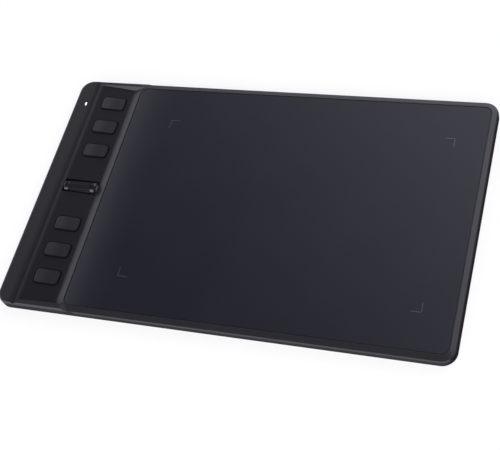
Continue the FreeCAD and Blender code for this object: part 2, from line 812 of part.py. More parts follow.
def make_switches():
    """Six low switches on the board, one under each key, each with a bore for its plunger."""
    switches = new_body("key_switches")
    outline = new_sketch(switches, "outline", "XY", "board_top")
    for y in key_places():
        draw_rectangle(outline, "key_x - switch_width / 2", "key_x + switch_width / 2",
                       "%s - switch_width / 2" % y, "%s + switch_width / 2" % y)
        draw_circle(outline, "key_x", y, "plunger_radius + plunger_gap")
    pad(switches, outline, "switch_height")


def cut_key_crown(cap):
    """Cut the cap's top to the fall of the well's floor, with a slight crown along X."""
    crown = new_sketch(cap, "crown", "XZ")
    half = "(key_width / 2 + key_gap)"
    left = ("-%s" % half, "key_floor + key_proud + well_fall * %s" % half)
    right = (half, "key_floor + key_proud - well_fall * %s" % half)
    top = "cut_top"
    left_end = FreeCAD.Vector(number(left[0]), number(left[1]), 0)
    right_end = FreeCAD.Vector(number(right[0]), number(right[1]), 0)
    above_right = FreeCAD.Vector(right_end.x, number(top), 0)
    above_left = FreeCAD.Vector(left_end.x, number(top), 0)

    radius = number("key_crown")
    chord = right_end - left_end
    down = FreeCAD.Vector(chord.y, -chord.x, 0).normalize()
    centre = (left_end + right_end) * 0.5 + down * math.sqrt(radius ** 2 - chord.Length ** 2 / 4)
    angles = [math.atan2(end.y - centre.y, end.x - centre.x) for end in (right_end, left_end)]
    circle = Part.Circle(centre, FreeCAD.Vector(0, 0, 1), radius)
    crown.addGeometry(Part.ArcOfCircle(circle, *angles), False)
    crown.addGeometry(Part.LineSegment(left_end, above_left), False)
    crown.addGeometry(Part.LineSegment(above_left, above_right), False)
    crown.addGeometry(Part.LineSegment(above_right, right_end), False)
    for index in range(4):
        following = (index + 1) % 4
        crown.addConstraint(Sketcher.Constraint("Coincident", index, 2, following, 1))
    place_point(crown, 0, 1, *right)
    place_point(crown, 0, 2, *left)
    place_point(crown, 1, 2, left[0], top)
    place_point(crown, 2, 2, right[0], top)
    constrain(crown, "key_crown", "Radius", 0)
    return pocket(cap, crown, "key_depth + 2 * key_gap", both_ways=True)


def make_key(index, y):
    """One key: a hollow cap with a flange that keeps it in its opening, and a stem."""
    cap = new_body("key_%d" % index, "key_x", y)
    outline = new_sketch(cap, "outline", "XY", "flange_bottom")
    draw_rounded(outline, "-(key_width / 2)", "key_width / 2", "-(key_depth / 2)", "key_depth / 2",
                 "key_corner")
    pad(cap, outline, "strip_height - flange_bottom")
    crowned = cut_key_crown(cap)
    doc.recompute()
    top = max(range(len(crowned.Shape.Faces)),
              key=lambda place: crowned.Shape.Faces[place].CenterOfMass.z)
    bevel_edges(cap, crowned, ["Face%d" % (top + 1)], "key_edge", "edge")

    flange = new_sketch(cap, "flange", "XY", "flange_bottom")
    draw_rounded(flange, "-(key_width / 2 + key_flange)", "key_width / 2 + key_flange",
                 "-(key_depth / 2 + key_flange)", "key_depth / 2 + key_flange",
                 "key_corner + key_flange")
    pad(cap, flange, "key_flange_thickness")
    hollow = new_sketch(cap, "hollow", "XY", "flange_bottom")
    draw_rounded(hollow, "-(key_width / 2 - key_wall)", "key_width / 2 - key_wall",
                 "-(key_depth / 2 - key_wall)", "key_depth / 2 - key_wall", "key_corner - key_wall")
    draw_circle(hollow, "0", "0", "key_stem")
    pocket(cap, hollow, "well_low - key_wall / 4 - flange_bottom", along_normal=True)
    foot = new_sketch(cap, "stem_foot", "XY", "flange_bottom")
    draw_circle(foot, "0", "0", "key_stem + key_gap")
    pocket(cap, foot, "well_ceiling - flange_bottom", along_normal=True)

    plunger = new_body("key_plunger_%d" % index, "key_x", y)
    disc = new_sketch(plunger, "disc", "XY", "plunger_bottom")
    draw_circle(disc, "0", "0", "plunger_radius")
    pad(plunger, disc, "well_ceiling - plunger_bottom")


def make_turned(name, left, right, outer, bore=None):
    """A piece of the roller, turned about its axis, between two places along X."""
    piece = new_body(name, "0", "roller_shift", "axis_height")
    section = new_sketch(piece, "section", "YZ", left)
    draw_circle(section, "0", "0", outer)
    if bore:
        draw_circle(section, "0", "0", bore)
    pad(piece, section, "%s - (%s)" % (right, left))
    return piece


def make_roller():
    """The scroll roller: core, ribbed grip, two end rings, pin and encoder disc."""
    core_seat = "core_radius + fit_gap"
    make_turned("roller_core", "roller_x - roller_half_length", "roller_x + roller_half_length",
                "core_radius", "pin_radius + fit_gap")
    make_turned("roller_pin", "pin_left", "pin_right", "pin_radius")
    make_turned("encoder_disc", "encoder_left + encoder_wall + encoder_gap",
                "encoder_left + encoder_length - encoder_wall - encoder_gap",
                "encoder_disc_radius", "pin_radius + fit_gap")

    grip = make_turned("roller_grip", "roller_x - grip_half_length", "roller_x + grip_half_length",
                       "grip_radius", core_seat)
    flute = new_sketch(grip, "flute", "YZ", "roller_x - grip_half_length")
    draw_polygon(flute, [("0", "grip_radius - flute_depth"),
                         ("flute_width / 2", "grip_radius + seat_gap"),
                         ("-(flute_width / 2)", "grip_radius + seat_gap")])
    cut = pocket(grip, flute, "2 * grip_half_length", along_normal=True)
    pattern = grip.newObject("PartDesign::PolarPattern", "roller_grip_flutes")
    pattern.Originals = [cut]
    pattern.Axis = (origin_feature(grip, "X_Axis"), [""])
    pattern.Angle = 360
    pattern.Occurrences = FLUTE_COUNT
    grip.Tip = pattern

    for side, left, right in (
            ("left", "roller_x - roller_half_length", "roller_x - grip_half_length - seat_gap"),
            ("right", "roller_x + grip_half_length + seat_gap", "roller_x + roller_half_length")):
        ring = make_turned("roller_ring_" + side, left, right, "roller_radius", core_seat)
        sleeve = ring.Tip
        doc.recompute()
        outer_end = number(left if side == "left" else right)
        rim = []
        for index, edge in enumerate(ring.Shape.Edges, start=1):
            curve = edge.Curve
            if isinstance(curve, Part.Circle) and curve.Radius > number(core_seat) + SAME_PLACE:
                if abs(curve.Center.x - outer_end) < SAME_PLACE:
                    rim.append("Edge%d" % index)
        bevel_edges(ring, sleeve, rim, "ring_edge", "rim")


def make_brackets():
    """Two forked brackets on the board that carry the roller's pin."""
    for side, x in (("left", "left_bracket"), ("right", "right_bracket")):
        bracket = new_body("roller_bracket_" + side, x, "roller_shift")
        outline = new_sketch(bracket, "outline", "YZ")
        draw_rectangle(outline, "-(bracket_half_width)", "bracket_half_width", "board_top", "pin_top")
        pad(bracket, outline, "bracket_thickness")
        fork = new_sketch(bracket, "fork", "YZ")
        draw_rectangle(fork, "-(pin_radius + fit_gap)", "pin_radius + fit_gap", "axis_height",
                       "pin_top + over_cut")
        pocket(bracket, fork, "bracket_thickness", along_normal=True)
        seat = new_sketch(bracket, "pin_seat", "YZ")
        draw_circle(seat, "0", "axis_height", "pin_radius + fit_gap")
        pocket(bracket, seat, "bracket_thickness", along_normal=True)


def make_encoder_housing():
    """The encoder's housing, open on its right side round the disc and the pin."""
    housing = new_body("encoder_housing", "encoder_left", "roller_shift")
    outline = new_sketch(housing, "outline", "YZ")
    draw_rectangle(outline, "-(encoder_half_width)", "encoder_half_width", "board_top",
                   "strip_ceiling - seat_gap")
    pad(housing, outline, "encoder_length")
    room = new_sketch(housing, "room", "YZ", "encoder_wall")
    draw_circle(room, "0", "axis_height", "encoder_disc_radius + encoder_gap")
    pocket(housing, room, "encoder_length", along_normal=True)


def make_light():
    """The light window in the strip, with a flange below the skin, and the lamp under it."""
    pipe = new_body("indicator_light_pipe", "light_x", "light_y")
    column = new_sketch(pipe, "column", "XY", "board_top + lamp_height + 2 * seat_gap")
    draw_rounded(column, "-(light_width / 2)", "light_width / 2", "-(light_length / 2)",
                 "light_length / 2", "light_width / 3 - light_gap")
    pad(pipe, column, "strip_height - board_top - lamp_height - 2 * seat_gap")
    flange = new_sketch(pipe, "flange", "XY", "strip_ceiling - seat_gap - light_flange_thickness")
    draw_rectangle(flange, "-(light_width / 2 + light_flange)", "light_width / 2 + light_flange",
                   "-(light_length / 2 + light_flange)", "light_length / 2 + light_flange")
    pad(pipe, flange, "light_flange_thickness")

    lamp = new_body("indicator_lamp", "light_x", "light_y")
    outline = new_sketch(lamp, "outline", "XY", "board_top")
    draw_rectangle(outline, "-(lamp_width / 2)", "lamp_width / 2", "-(lamp_width / 2)",
                   "lamp_width / 2")
    pad(lamp, outline, "lamp_height")


def make_socket():
    """The power and data socket: a rounded metal shell with tabs, and the tongue inside it."""
    shell = new_body("socket_shell", "socket_mouth", "socket_y", "socket_axis")
    section = new_sketch(shell, "section", "YZ")
    for inset in ("0", "socket_shell"):
        draw_rounded(section, "-(socket_width / 2 - %s)" % inset, "socket_width / 2 - " + inset,
                     "-(socket_height / 2 - %s)" % inset, "socket_height / 2 - " + inset,
                     "socket_height / 2 - socket_shell / 4 - " + inset)
    pad(shell, section, "socket_depth")
    tabs = new_sketch(shell, "tabs", "XY", "board_top - socket_axis")
    for start in ("wall + 2 * tab_length", "socket_depth - tab_length"):
        for inner, outer in (("-(socket_width / 2 - 1.75 * socket_shell)",
                              "-(socket_width / 2 + tab_reach)"),
                             ("socket_width / 2 - 1.75 * socket_shell",
                              "socket_width / 2 + tab_reach")):
            draw_rectangle(tabs, start, start + " + tab_length", inner, outer)
    pad(shell, tabs, "tab_thickness")

    tongue = new_body("socket_tongue", "socket_mouth", "socket_y", "socket_axis")
    base = new_sketch(tongue, "base", "YZ", "socket_depth - tongue_base")
    half_height = "(socket_height / 2 - socket_shell - seat_gap)"
    half_width = "(socket_width / 2 - socket_shell - seat_gap)"
    draw_rounded(base, "-%s" % half_width, half_width, "-%s" % half_height, half_height,
                 half_height + " - socket_shell / 4")
    pad(tongue, base, "tongue_base")
    blade = new_sketch(tongue, "blade", "YZ", "socket_depth - tongue_base - tongue_length")
    draw_rectangle(blade, "-(tongue_width / 2)", "tongue_width / 2", "-(tongue_thickness / 2)",
                   "tongue_thickness / 2")
    pad(tongue, blade, "tongue_length")


def make_screws():
    """The case screws, driven from below, and the board screws, driven from above."""
    case_screws = new_body("case_screws")
    heads = new_sketch(case_screws, "heads", "XY", "foot_height + screw_sink - screw_head_height")
    shanks = new_sketch(case_screws, "shanks", "XY", "foot_height + screw_sink")
    for x, y in case_screw_places():
        draw_circle(heads, x, y, "screw_head_radius")
        draw_circle(shanks, x, y, "screw_radius")
    pad(case_screws, heads, "screw_head_height")
    pad(case_screws, shanks, "bottom_plate - screw_sink + screw_reach")

    board_screws = new_body("board_screws")
    heads = new_sketch(board_screws, "heads", "XY", "board_top")
    shanks = new_sketch(board_screws, "shanks", "XY", "seam - board_screw_depth")
    for x, y in board_screw_places():
        draw_circle(heads, x, y, "board_screw_head")
        draw_circle(shanks, x, y, "board_screw_radius")
    pad(board_screws, heads, "board_screw_head_height")
    pad(board_screws, shanks, "board_top - seam + board_screw_depth")


def check_and_write():
    """Stop on any failed object, then write each piece to its own file."""
    doc.recompute()
    for item in doc.Objects:
        if "Invalid" in item.State or "Error" in item.State:
            raise RuntimeError("%s failed: %s" % (item.Name, item.State))
    pieces = [item for item in doc.Objects if item.TypeId == "PartDesign::Body"]
    for piece in pieces:
        if piece.Shape.isNull() or not piece.Shape.isValid():
            raise RuntimeError(piece.Label + " has no valid solid")
    os.makedirs("parts", exist_ok=True)
    for piece in pieces:
        piece.Shape.exportStep("parts/%s.step" % piece.Label)
        print(piece.Label, len(piece.Shape.Solids), round(piece.Shape.Volume, 2))


def main():
    fill_sheet()
    make_top_cover()
    make_bottom_cover()
    make_feet()
    make_drawing_surface()
    make_sensor()
    make_control_board()
    make_chips()
    make_flex()
    make_switches()
    for index, y in enumerate(key_places(), start=1):
        make_key(index, y)
    make_roller()
    make_brackets()
    make_encoder_housing()
    make_light()
    make_socket()
    make_screws()
    check_and_write()


main()
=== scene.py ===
import math
from collections import namedtuple

import bmesh
import bpy
from bpy.props import FloatProperty, FloatVectorProperty, IntProperty, PointerProperty
from mathutils import Matrix, Vector


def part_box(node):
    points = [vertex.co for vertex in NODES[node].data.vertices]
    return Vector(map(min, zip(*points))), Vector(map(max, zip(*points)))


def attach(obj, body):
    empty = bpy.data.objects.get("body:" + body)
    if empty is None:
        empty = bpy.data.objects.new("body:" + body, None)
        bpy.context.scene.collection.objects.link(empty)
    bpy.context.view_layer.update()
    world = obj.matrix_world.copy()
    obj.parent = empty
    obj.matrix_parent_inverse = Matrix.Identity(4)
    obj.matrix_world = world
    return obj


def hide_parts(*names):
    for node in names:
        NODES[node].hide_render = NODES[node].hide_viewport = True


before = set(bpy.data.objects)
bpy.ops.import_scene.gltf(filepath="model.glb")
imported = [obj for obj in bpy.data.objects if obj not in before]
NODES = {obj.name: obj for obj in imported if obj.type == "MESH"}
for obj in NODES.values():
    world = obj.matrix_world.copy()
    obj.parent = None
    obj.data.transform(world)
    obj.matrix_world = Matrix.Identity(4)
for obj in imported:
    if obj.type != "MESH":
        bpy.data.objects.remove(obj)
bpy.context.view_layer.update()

bl_info = {
    "name": "Graphics tablet looks",
    "version": (1, 0, 0),
    "blender": (4, 5, 0),
    "location": "View3D > Sidebar > Tablet",
    "description": "Dresses a packed graphics tablet with its finishes, printed marks and stage",
    "category": "Object",
}

SHEET_LOW, SHEET_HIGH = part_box("drawing_surface")
COVER_LOW, COVER_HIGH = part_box("top_cover")
KEY_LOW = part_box("key_1")[0]
CORE_LOW, CORE_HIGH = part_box("roller_core")
KEY_COUNT = 6
MILLIMETRE = 0.001

# Where the finishes of the top cover meet
WELL_LEFT = COVER_LOW.x + 13 * MILLIMETRE
RAMP_TOP = SHEET_LOW.x - 0.6 * MILLIMETRE
WELL_HALF_DEPTH = COVER_HIGH.y - 2.75 * MILLIMETRE
WALL_TOP = COVER_HIGH.z - 2.3 * MILLIMETRE
# Start of the painted shade at the right-hand edge, and of the edge faces that take the wall
# finish
EDGE_START = COVER_HIGH.x - 6 * MILLIMETRE
# Most upright share of a normal on a side wall
WALL_NORMAL = 0.2
# Least upright share of a normal in the strip, valley and well, and on the flat top of a key
STRIP_NORMAL = 0.8
# Faces of a key less upright than this take the rim finish, darker as painted shade
KEY_TOP_NORMAL = 0.985
# Least sideways share of a normal on the right-hand edge of the frame
EDGE_NORMAL = 0.6
# Material slots of the top cover
FRAME_SLOT, STRIP_SLOT, WALL_SLOT = range(3)

# Shares that change along X, as stops of (millimetres, share)
# Satin and colour across strip, valley, ridge, key well and ramp, from the left edge of the case
# Painted shade: the valley dips to the well's darker black; painted highlight: the ridge rises
# back to the case's black
STRIP_SATIN_AND_SHADE = ((7.2, 1.0), (8.4, 0.45), (10.0, 0.05), (11.4, 0.0), (12.7, 1.0), (14.4, 0.0),
               (33.4, 0.0), (37.2, 1.0))
# Satin across a key cap, from its left edge
KEY_SATIN = ((0.0, 1.0), (5.0, 0.8), (8.0, 0.2), (10.0, 0.0))
# Painted shade at the right-hand edge: case colour against the darker one, from EDGE_START
FRAME_EDGE_SHADE = ((0.0, 1.0), (5.0, 1.0), (5.3, 0.0), (6.0, 0.0))
WALL_EDGE_SHADE = ((0.0, 1.0), (2.5, 0.8), (4.5, 0.15), (6.0, 0.0))
# Painted sheen: paler tone of the sheet, from its left edge
SHEET_SHEEN = ((0.0, 1.0), (4.0, 0.75), (9.0, 0.4), (15.0, 0.15), (24.0, 0.0))

# Case: specular levels, depth of the grain in metres, dust; the bottom's grain is so many times
# wider than the case's
CASE_SPECULAR = 0.25
WALL_SPECULAR = 0.05
CASE_DEPTH = 0.00001
CASE_DUST = 0.05
BOTTOM_GRAIN = 1.6
BOTTOM_DEPTH = 0.00002
BOTTOM_DUST = 0.08
# Sheet and its ink: depth of the grain in metres, ripple of the roughness, dust
SHEET_DEPTH = 0.000008
SHEET_RIPPLE = 0.03
SHEET_DUST = 0.03
INK_ROUGHNESS = 0.3
INK_SPECULAR = 1.0
INK_DEPTH = 0.000002

# Plain surfaces: colour where no setting gives it, roughness, specular level, width and depth
# of the grain in metres, dust, and how much the grain ripples the roughness
RIPPLE = 0.06
Surface = namedtuple("Surface", "base roughness specular width depth dust ripple",
                     defaults=(RIPPLE,))
SURFACES = {
    "key_plastic": Surface(None, 0.5, 0.4, 0.0004, 0.000006, 0.05),
    # Rims of the key caps: darker, rougher and duller, as painted shade round each key
    "key_rim_plastic": Surface(None, 0.7, 0.1, 0.0004, 0.000006, 0.05),
    "grip_rubber": Surface(None, 0.6, 0.2, 0.0003, 0.000012, 0.12),
    "gloss_ring": Surface(None, 0.13, 0.42, 0.0009, 0.0000008, 0.0, 0.04),
    "foot_rubber": Surface((0.030, 0.030, 0.031), 0.8, 0.1, 0.0005, 0.00002, 0.25),
    "light_window": Surface((0.85, 0.85, 0.85), 0.3, 0.5, 0.0005, 0.000002, 0.0),
    "adhesive_film": Surface((0.45, 0.42, 0.35), 0.4, 0.5, 0.0008, 0.00001, 0.0),
    "inner_plastic": Surface((0.10, 0.10, 0.11), 0.45, 0.5, 0.0006, 0.00001, 0.2),
    "switch_plastic": Surface((0.55, 0.55, 0.53), 0.5, 0.5, 0.0003, 0.00001, 0.0),
    "chip_mould": Surface((0.018, 0.018, 0.018), 0.6, 0.5, 0.0003, 0.00001, 0.1),
    "flex_film": Surface((0.42, 0.20, 0.03), 0.25, 0.5, 0.001, 0.00001, 0.0),
    "solder_mask": Surface((0.012, 0.075, 0.035), 0.28, 0.5, 0.0012, 0.00001, 0.0),
}
KEY_SATIN_ROUGHNESS = 0.35
# Dust on the lit window and over the runs of a board
WINDOW_DUST = 0.2
BOARD_DUST = 0.05
# Brushed metals: colour, roughness, marks to a metre across the brushing
BRUSHED = {
    "plated_steel": ((0.62, 0.61, 0.59), 0.28, 9000.0),
    "black_screw": ((0.05, 0.05, 0.052), 0.35, 4000.0),
}
# Marks along the brushing against those across it, swing of the roughness, depth in metres
BRUSH_STRETCH = 0.03
BRUSH_SWING = 0.3
BRUSH_DEPTH = 0.000004
# Boards: two greens of the mask, its paler green over the copper runs, repeats of the runs to a
# metre, and their width
MASK_COLOURS = ((0.010, 0.070, 0.032), (0.016, 0.095, 0.045))
RUN_COLOUR = (0.030, 0.150, 0.070)
RUN_SCALE = 260.0
RUN_WIDTH = 0.04

# Patterns of the shared groups in repeats to a metre: ripple of the roughness, dust, specks
CLOUD_SCALE = 45.0
DUST_SCALE = 28.0
SPECK_SCALE = 420.0
# Dust: its colour, and its share where a soft patch is thickest
DUST_COLOUR = (0.09, 0.09, 0.09)
DUST_MOST = 0.35
# Span that most values of a noise texture fill
NOISE_SPAN = (0.3, 0.7)
# Spans of a noise texture in which dust and specks set in, and of the edge of a speck
DUST_SPAN = (0.45, 0.75)
RARE_SPAN = (0.55, 0.7)
SPECK_SPAN = (0.03, 0.09)

# From the direction of a corner of the drawing area to that of its mark's first arm
MARK_TURN = math.radians(135)
# Case screws: height of the head, width of a slot, length of a slot and radius of the shank as
# shares of the head's radius, and flat sides of a round
SCREW_HEAD = 0.45 * MILLIMETRE
SCREW_SLOT = 0.5 * MILLIMETRE
SLOT_SHARE = 1.2
SHANK_SHARE = 10 / 19
SCREW_SIDES = 40
# Corners of a CAD mesh nearer than this, in metres, are one
WELD_DISTANCE = 1e-7
# Polished rings: gap to the core, inner bevel as a share of the rounding, steps of the rounding
RING_GAP = 0.03 * MILLIMETRE
RING_BEVEL = 0.2
ROUND_STEPS = 8
SHARP_ANGLE = math.radians(35)

# Bright panels of the sky: aim, cosine at the edge, cosine where it is full, strength
SKY_PANELS = (((0.30, 0.85, 0.45), 0.60, 0.96, 1.90),
              ((0.45, 0.50, 0.74), 0.85, 0.97, 0.83),
              ((-0.93, 0.36, 0.10), 0.80, 0.97, 1.65),
              ((-0.45, -0.85, 0.25), 0.80, 0.97, 4.20),
              ((0.62, -0.62, 0.48), 0.82, 0.98, 0.55))
# Floor: half its side in metres, roughness, scale and least share of its faint tint, and how
# much of what the eye sees of it is plain white and not lit
FLOOR_HALF = 30.0
FLOOR_ROUGHNESS = 0.9
FLOOR_SCALE = 3.0
FLOOR_TINT = 0.995
FLOOR_WHITE = 0.80
# Lamp, in metres
LAMP_PLACE = (0.75, -0.85, 0.85)
LAMP_SIZE = 0.9
# Camera: frame width in millimetres, and nearest distance that it sees in metres
SENSOR_WIDTH = 36.0
CLIP_START = 0.01

# Spacing of nodes in the editor, and the colour entries and output of a mix node
NODE_STEP = 280
NODE_DROP = 260
MIX_FIRST = 6
MIX_SECOND = 7
MIX_RESULT = 2


def colour(name, text, default):
    """A colour that a user would change."""
    return FloatVectorProperty(name=name, description=text, subtype="COLOR", size=3, min=0, max=1,
                               default=default)


def length(name, text, default):
    """A length in metres."""
    return FloatProperty(name=name, description=text, unit="LENGTH", precision=5, min=0,
                         default=default)


def position(name, text, default):
    """A place along an axis, in metres to either side."""
    return FloatProperty(name=name, description=text, unit="LENGTH", precision=5,
                         default=default)


def bearing(name, text, degrees):
    """An angle with its default in degrees."""
    return FloatProperty(name=name, description=text, subtype="ANGLE",
                         default=math.radians(degrees))


def factor(name, text, default, high=1.0):
    """A plain share or strength."""
    return FloatProperty(name=name, description=text, min=0, max=high, default=default)


class TabletCaseFinish(bpy.types.PropertyGroup):
    """The moulded case and its key well."""
    case_colour: colour("Case", "Black of the moulded case", (0.0110, 0.0105, 0.0130))
    # Also used as the painted shade in the strip's valley and at the right-hand edge of the case
    well_and_shade_colour: colour("Key well", "Darker, flatter black of the key well",
                        (0.0045, 0.0040, 0.0055))
    # Paler than the case's black though the walls are the same plastic: painted light on the side
    # walls; the bottom cover takes it too
    lit_wall_colour: colour("Side walls", "Black of the side walls", (0.0220, 0.0220, 0.0255))
    grain: length("Grain", "Width of one grain of the moulded surface", 0.00045)
    satin: factor("Satin", "Strength of the satin film over the case", 0.5)
    satin_roughness: factor("Satin roughness", "Roughness of the satin film", 0.35)
    roughness: factor("Roughness", "Roughness of the plastic under the film", 0.55)
    wall_roughness: factor("Side wall roughness", "Roughness of the side walls", 0.9)


class TabletSheetFinish(bpy.types.PropertyGroup):
    """The drawing sheet and the marks printed on it."""
    sheet_colour: colour("Sheet", "Black of the drawing sheet", (0.0054, 0.0058, 0.0105))
    # Painted sheen: the sheet's paler tone beside the key well
    edge_sheen_colour: colour("Sheet edge", "Paler tone beside the key well", (0.0250, 0.0255, 0.0305))
    mark_colour: colour("Marks", "Grey of the printed corner marks", (0.040, 0.040, 0.043))
    tooth: length("Tooth", "Width of the paper-like tooth", 0.00022)
    roughness: factor("Roughness", "Roughness of the sheet", 0.34)
    area_length: length("Area length", "Drawing area along the long side", 0.160)
    area_depth: length("Area depth", "Drawing area along the short side", 0.101)
    area_x: position("Area centre X", "Centre of the drawing area", 0.0226)
    area_y: position("Area centre Y", "Centre of the drawing area", -0.0005)
    mark_arm: length("Mark arm", "Length of each arm of a corner mark", 0.0054)
    mark_width: length("Mark width", "Width of a printed line", 0.00036)
    mark_ink: length("Mark ink", "Thickness of the ink", 0.00002)


class TabletControlFinish(bpy.types.PropertyGroup):
    """Keys, roller and light."""
    key_colour: colour("Keys", "Black of the key caps", (0.0062, 0.0058, 0.0072))
    # Darker than the caps: painted shade round each key's edge
    rim_shade_colour: colour("Key rims", "Black of the rounded rims of the key caps",
                       (0.0040, 0.0038, 0.0048))
    rubber_colour: colour("Grip", "Black of the rubber grip", (0.0070, 0.0070, 0.0080))
    gloss_colour: colour("Rings", "Black of the polished rings", (0.0100, 0.0100, 0.0120))
    light_colour: colour("Light", "White of the lit window", (1.0, 1.0, 1.0))
    light_strength: factor("Light strength", "Strength of the lit window", 0.9, 10)
    ring_round: length("Ring rounding", "Rounding of each ring's outer end", 0.0011)
    ring_steps: IntProperty(name="Ring steps", description="Steps round each end ring",
                            min=24, max=256, default=96)


class TabletStage(bpy.types.PropertyGroup):
    """Camera, floor, sky and lamp."""
    azimuth: bearing("Azimuth", "Camera direction round the tablet", 35.73)
    elevation: bearing("Elevation", "Camera height above the desk", 55.12)
    roll: bearing("Roll", "Turn of the picture", -24.93)
    distance: length("Distance", "From the camera to the point it looks at", 0.5584)
    look_x: position("Look at X", "Point on the desk in the picture's middle", 0.00343)
    look_y: position("Look at Y", "Point on the desk in the picture's middle", -0.00885)
    lens: FloatProperty(name="Lens", description="Focal length in millimetres on a 36 mm frame",
                        min=10, max=200, default=76.46)
    floor_colour: colour("Floor", "Pale floor", (0.97, 0.97, 0.97))
    sky_colour: colour("Sky", "Slightly cool white of the studio", (0.88, 0.88, 1.0))
    sky_level: factor("Sky level", "Strength of the sky where nothing brightens it", 0.06, 3)
    panel_level: factor("Panel level", "Strength of the bright panels in the sky", 1.0, 5)
    main_lamp: factor("Main lamp", "Power of the lamp by the camera in watts", 14.5, 100)


def keep_right(node, x):
    """Move a node this far right in the editor if it isn't, and the nodes that it feeds too."""
    if node.location.x < x:
        node.location.x = x
        for output in node.outputs:
            for link in output.links:
                keep_right(link.to_node, x + NODE_STEP)


def feed(tree, value, entry):
    """Link an entry to a socket, or set it to a plain value."""
    if hasattr(value, "is_output"):
        tree.links.new(value, entry)
        keep_right(entry.node, value.node.location.x + NODE_STEP)
    elif entry.type == "RGBA":
        entry.default_value = (*value[:3], 1.0)
    else:
        entry.default_value = value


def add_node(tree, kind, entries=(), **properties):
    """A node with its properties set and its entries fed, below the others of its column."""
    node = tree.nodes.new(kind)
    for name, value in properties.items():
        setattr(node, name, value)
    for entry, value in dict(entries).items():
        feed(tree, value, node.inputs[entry])
    above = sum(other.location.x == node.location.x for other in tree.nodes) - 1
    node.location.y = -NODE_DROP * above
    return node


def maths(tree, operation, *values):
    """The result of a maths node on numbers or sockets."""
    return add_node(tree, "ShaderNodeMath", enumerate(values), operation=operation).outputs[0]


def value_range(tree, source, low, high, to_low, to_high, smooth=False):
    """Map a value from one span to another, held at both ends."""
    entries = {"Value": source, "From Min": low, "From Max": high, "To Min": to_low,
               "To Max": to_high}
    node = add_node(tree, "ShaderNodeMapRange", entries,
                    interpolation_type="SMOOTHSTEP" if smooth else "LINEAR")
    return node.outputs["Result"]


def mix_colours(tree, share, first, second):
    """A blend of two colours by the share of the second."""
    entries = {"Factor": share, MIX_FIRST: first, MIX_SECOND: second}
    return add_node(tree, "ShaderNodeMix", entries, data_type="RGBA").outputs[MIX_RESULT]


def object_place(tree):
    """The object coordinates."""
    return add_node(tree, "ShaderNodeTexCoord").outputs["Object"]


def graded(tree, start, stops):
    """A value along X that follows stops of (millimetres from the start, value)."""
    along = add_node(tree, "ShaderNodeSeparateXYZ", {0: object_place(tree)}).outputs["X"]
    reach = stops[-1][0]
    share = value_range(tree, along, start, start + reach * MILLIMETRE, 0.0, 1.0)
    ramp = add_node(tree, "ShaderNodeValToRGB", {"Fac": share})
    points = ramp.color_ramp.elements
    for point, (place, value) in zip((points[0], points[-1]), (stops[0], stops[-1])):
        point.position = place / reach
        point.color = (value, value, value, 1.0)
    for place, value in stops[1:-1]:
        points.new(place / reach).color = (value, value, value, 1.0)
    return ramp.outputs["Color"]


def new_group(name, inputs, outputs):
    """An empty shader group with named sockets."""
    group = bpy.data.node_groups.new(name, "ShaderNodeTree")
    for label, kind, default in inputs:
        entry = group.interface.new_socket(label, in_out="INPUT", socket_type=kind)
        entry.default_value = default
    for label, kind in outputs:
        group.interface.new_socket(label, in_out="OUTPUT", socket_type=kind)
    return group, add_node(group, "NodeGroupInput"), add_node(group, "NodeGroupOutput")


def grain_group(name):
    """Fine grain of a moulded or printed surface: a height and a roughness ripple."""
    group, given, leave = new_group(
        name,
        [("Grain Width", "NodeSocketFloat", 0.0004), ("Roughness", "NodeSocketFloat", 0.4),
         ("Ripple", "NodeSocketFloat", RIPPLE)],
        [("Height", "NodeSocketFloat"), ("Roughness", "NodeSocketFloat")])
    place = object_place(group)
    scale = maths(group, "DIVIDE", 1.0, given.outputs["Grain Width"])
    noise = add_node(group, "ShaderNodeTexNoise",
                     {"Vector": place, "Scale": scale, "Detail": 2.0, "Roughness": 0.6})
    pits = add_node(group, "ShaderNodeTexVoronoi", {"Vector": place, "Scale": scale})
    height = maths(group, "MULTIPLY", noise.outputs["Fac"], pits.outputs["Distance"])
    feed(group, height, leave.inputs["Height"])
    cloud = add_node(group, "ShaderNodeTexNoise",
                     {"Vector": place, "Scale": CLOUD_SCALE, "Detail": 3.0})
    ripple = value_range(group, cloud.outputs["Fac"], *NOISE_SPAN, -0.5, 0.5)
    share = maths(group, "MULTIPLY", ripple, given.outputs["Ripple"])
    total = maths(group, "ADD", given.outputs["Roughness"], share)
    feed(group, total, leave.inputs["Roughness"])
    return group


def dust_group(name):
    """A trace of dust and handling: the colour lifts a little in soft patches and rare specks."""
    group, given, leave = new_group(
        name,
        [("Color", "NodeSocketColor", (0.01, 0.01, 0.01, 1.0)),
         ("Amount", "NodeSocketFloat", 0.3)],
        [("Color", "NodeSocketColor")])
    place = object_place(group)
    patch = add_node(group, "ShaderNodeTexNoise",
                     {"Vector": place, "Scale": DUST_SCALE, "Detail": 4.0}).outputs["Fac"]
    speck = add_node(group, "ShaderNodeTexVoronoi", {"Vector": place, "Scale": SPECK_SCALE})
    soft = value_range(group, patch, *DUST_SPAN, 0.0, DUST_MOST, smooth=True)
    dots = value_range(group, speck.outputs["Distance"], *SPECK_SPAN, 1.0, 0.0, smooth=True)
    rare = value_range(group, patch, *RARE_SPAN, 0.0, 1.0)
    total = maths(group, "MULTIPLY_ADD", dots, rare, soft)
    share = maths(group, "MULTIPLY", total, given.outputs["Amount"])
    lifted = mix_colours(group, share, given.outputs["Color"], DUST_COLOUR)
    feed(group, lifted, leave.inputs["Color"])
    return group


SHARED_GROUPS = {"moulded_grain": grain_group, "light_dust": dust_group}


def use_group(tree, name, entries):
    """Place a shared group in a material with its own values, built on its first use."""
    group = bpy.data.node_groups.get(name) or SHARED_GROUPS[name](name)
    return add_node(tree, "ShaderNodeGroup", entries, node_tree=group)


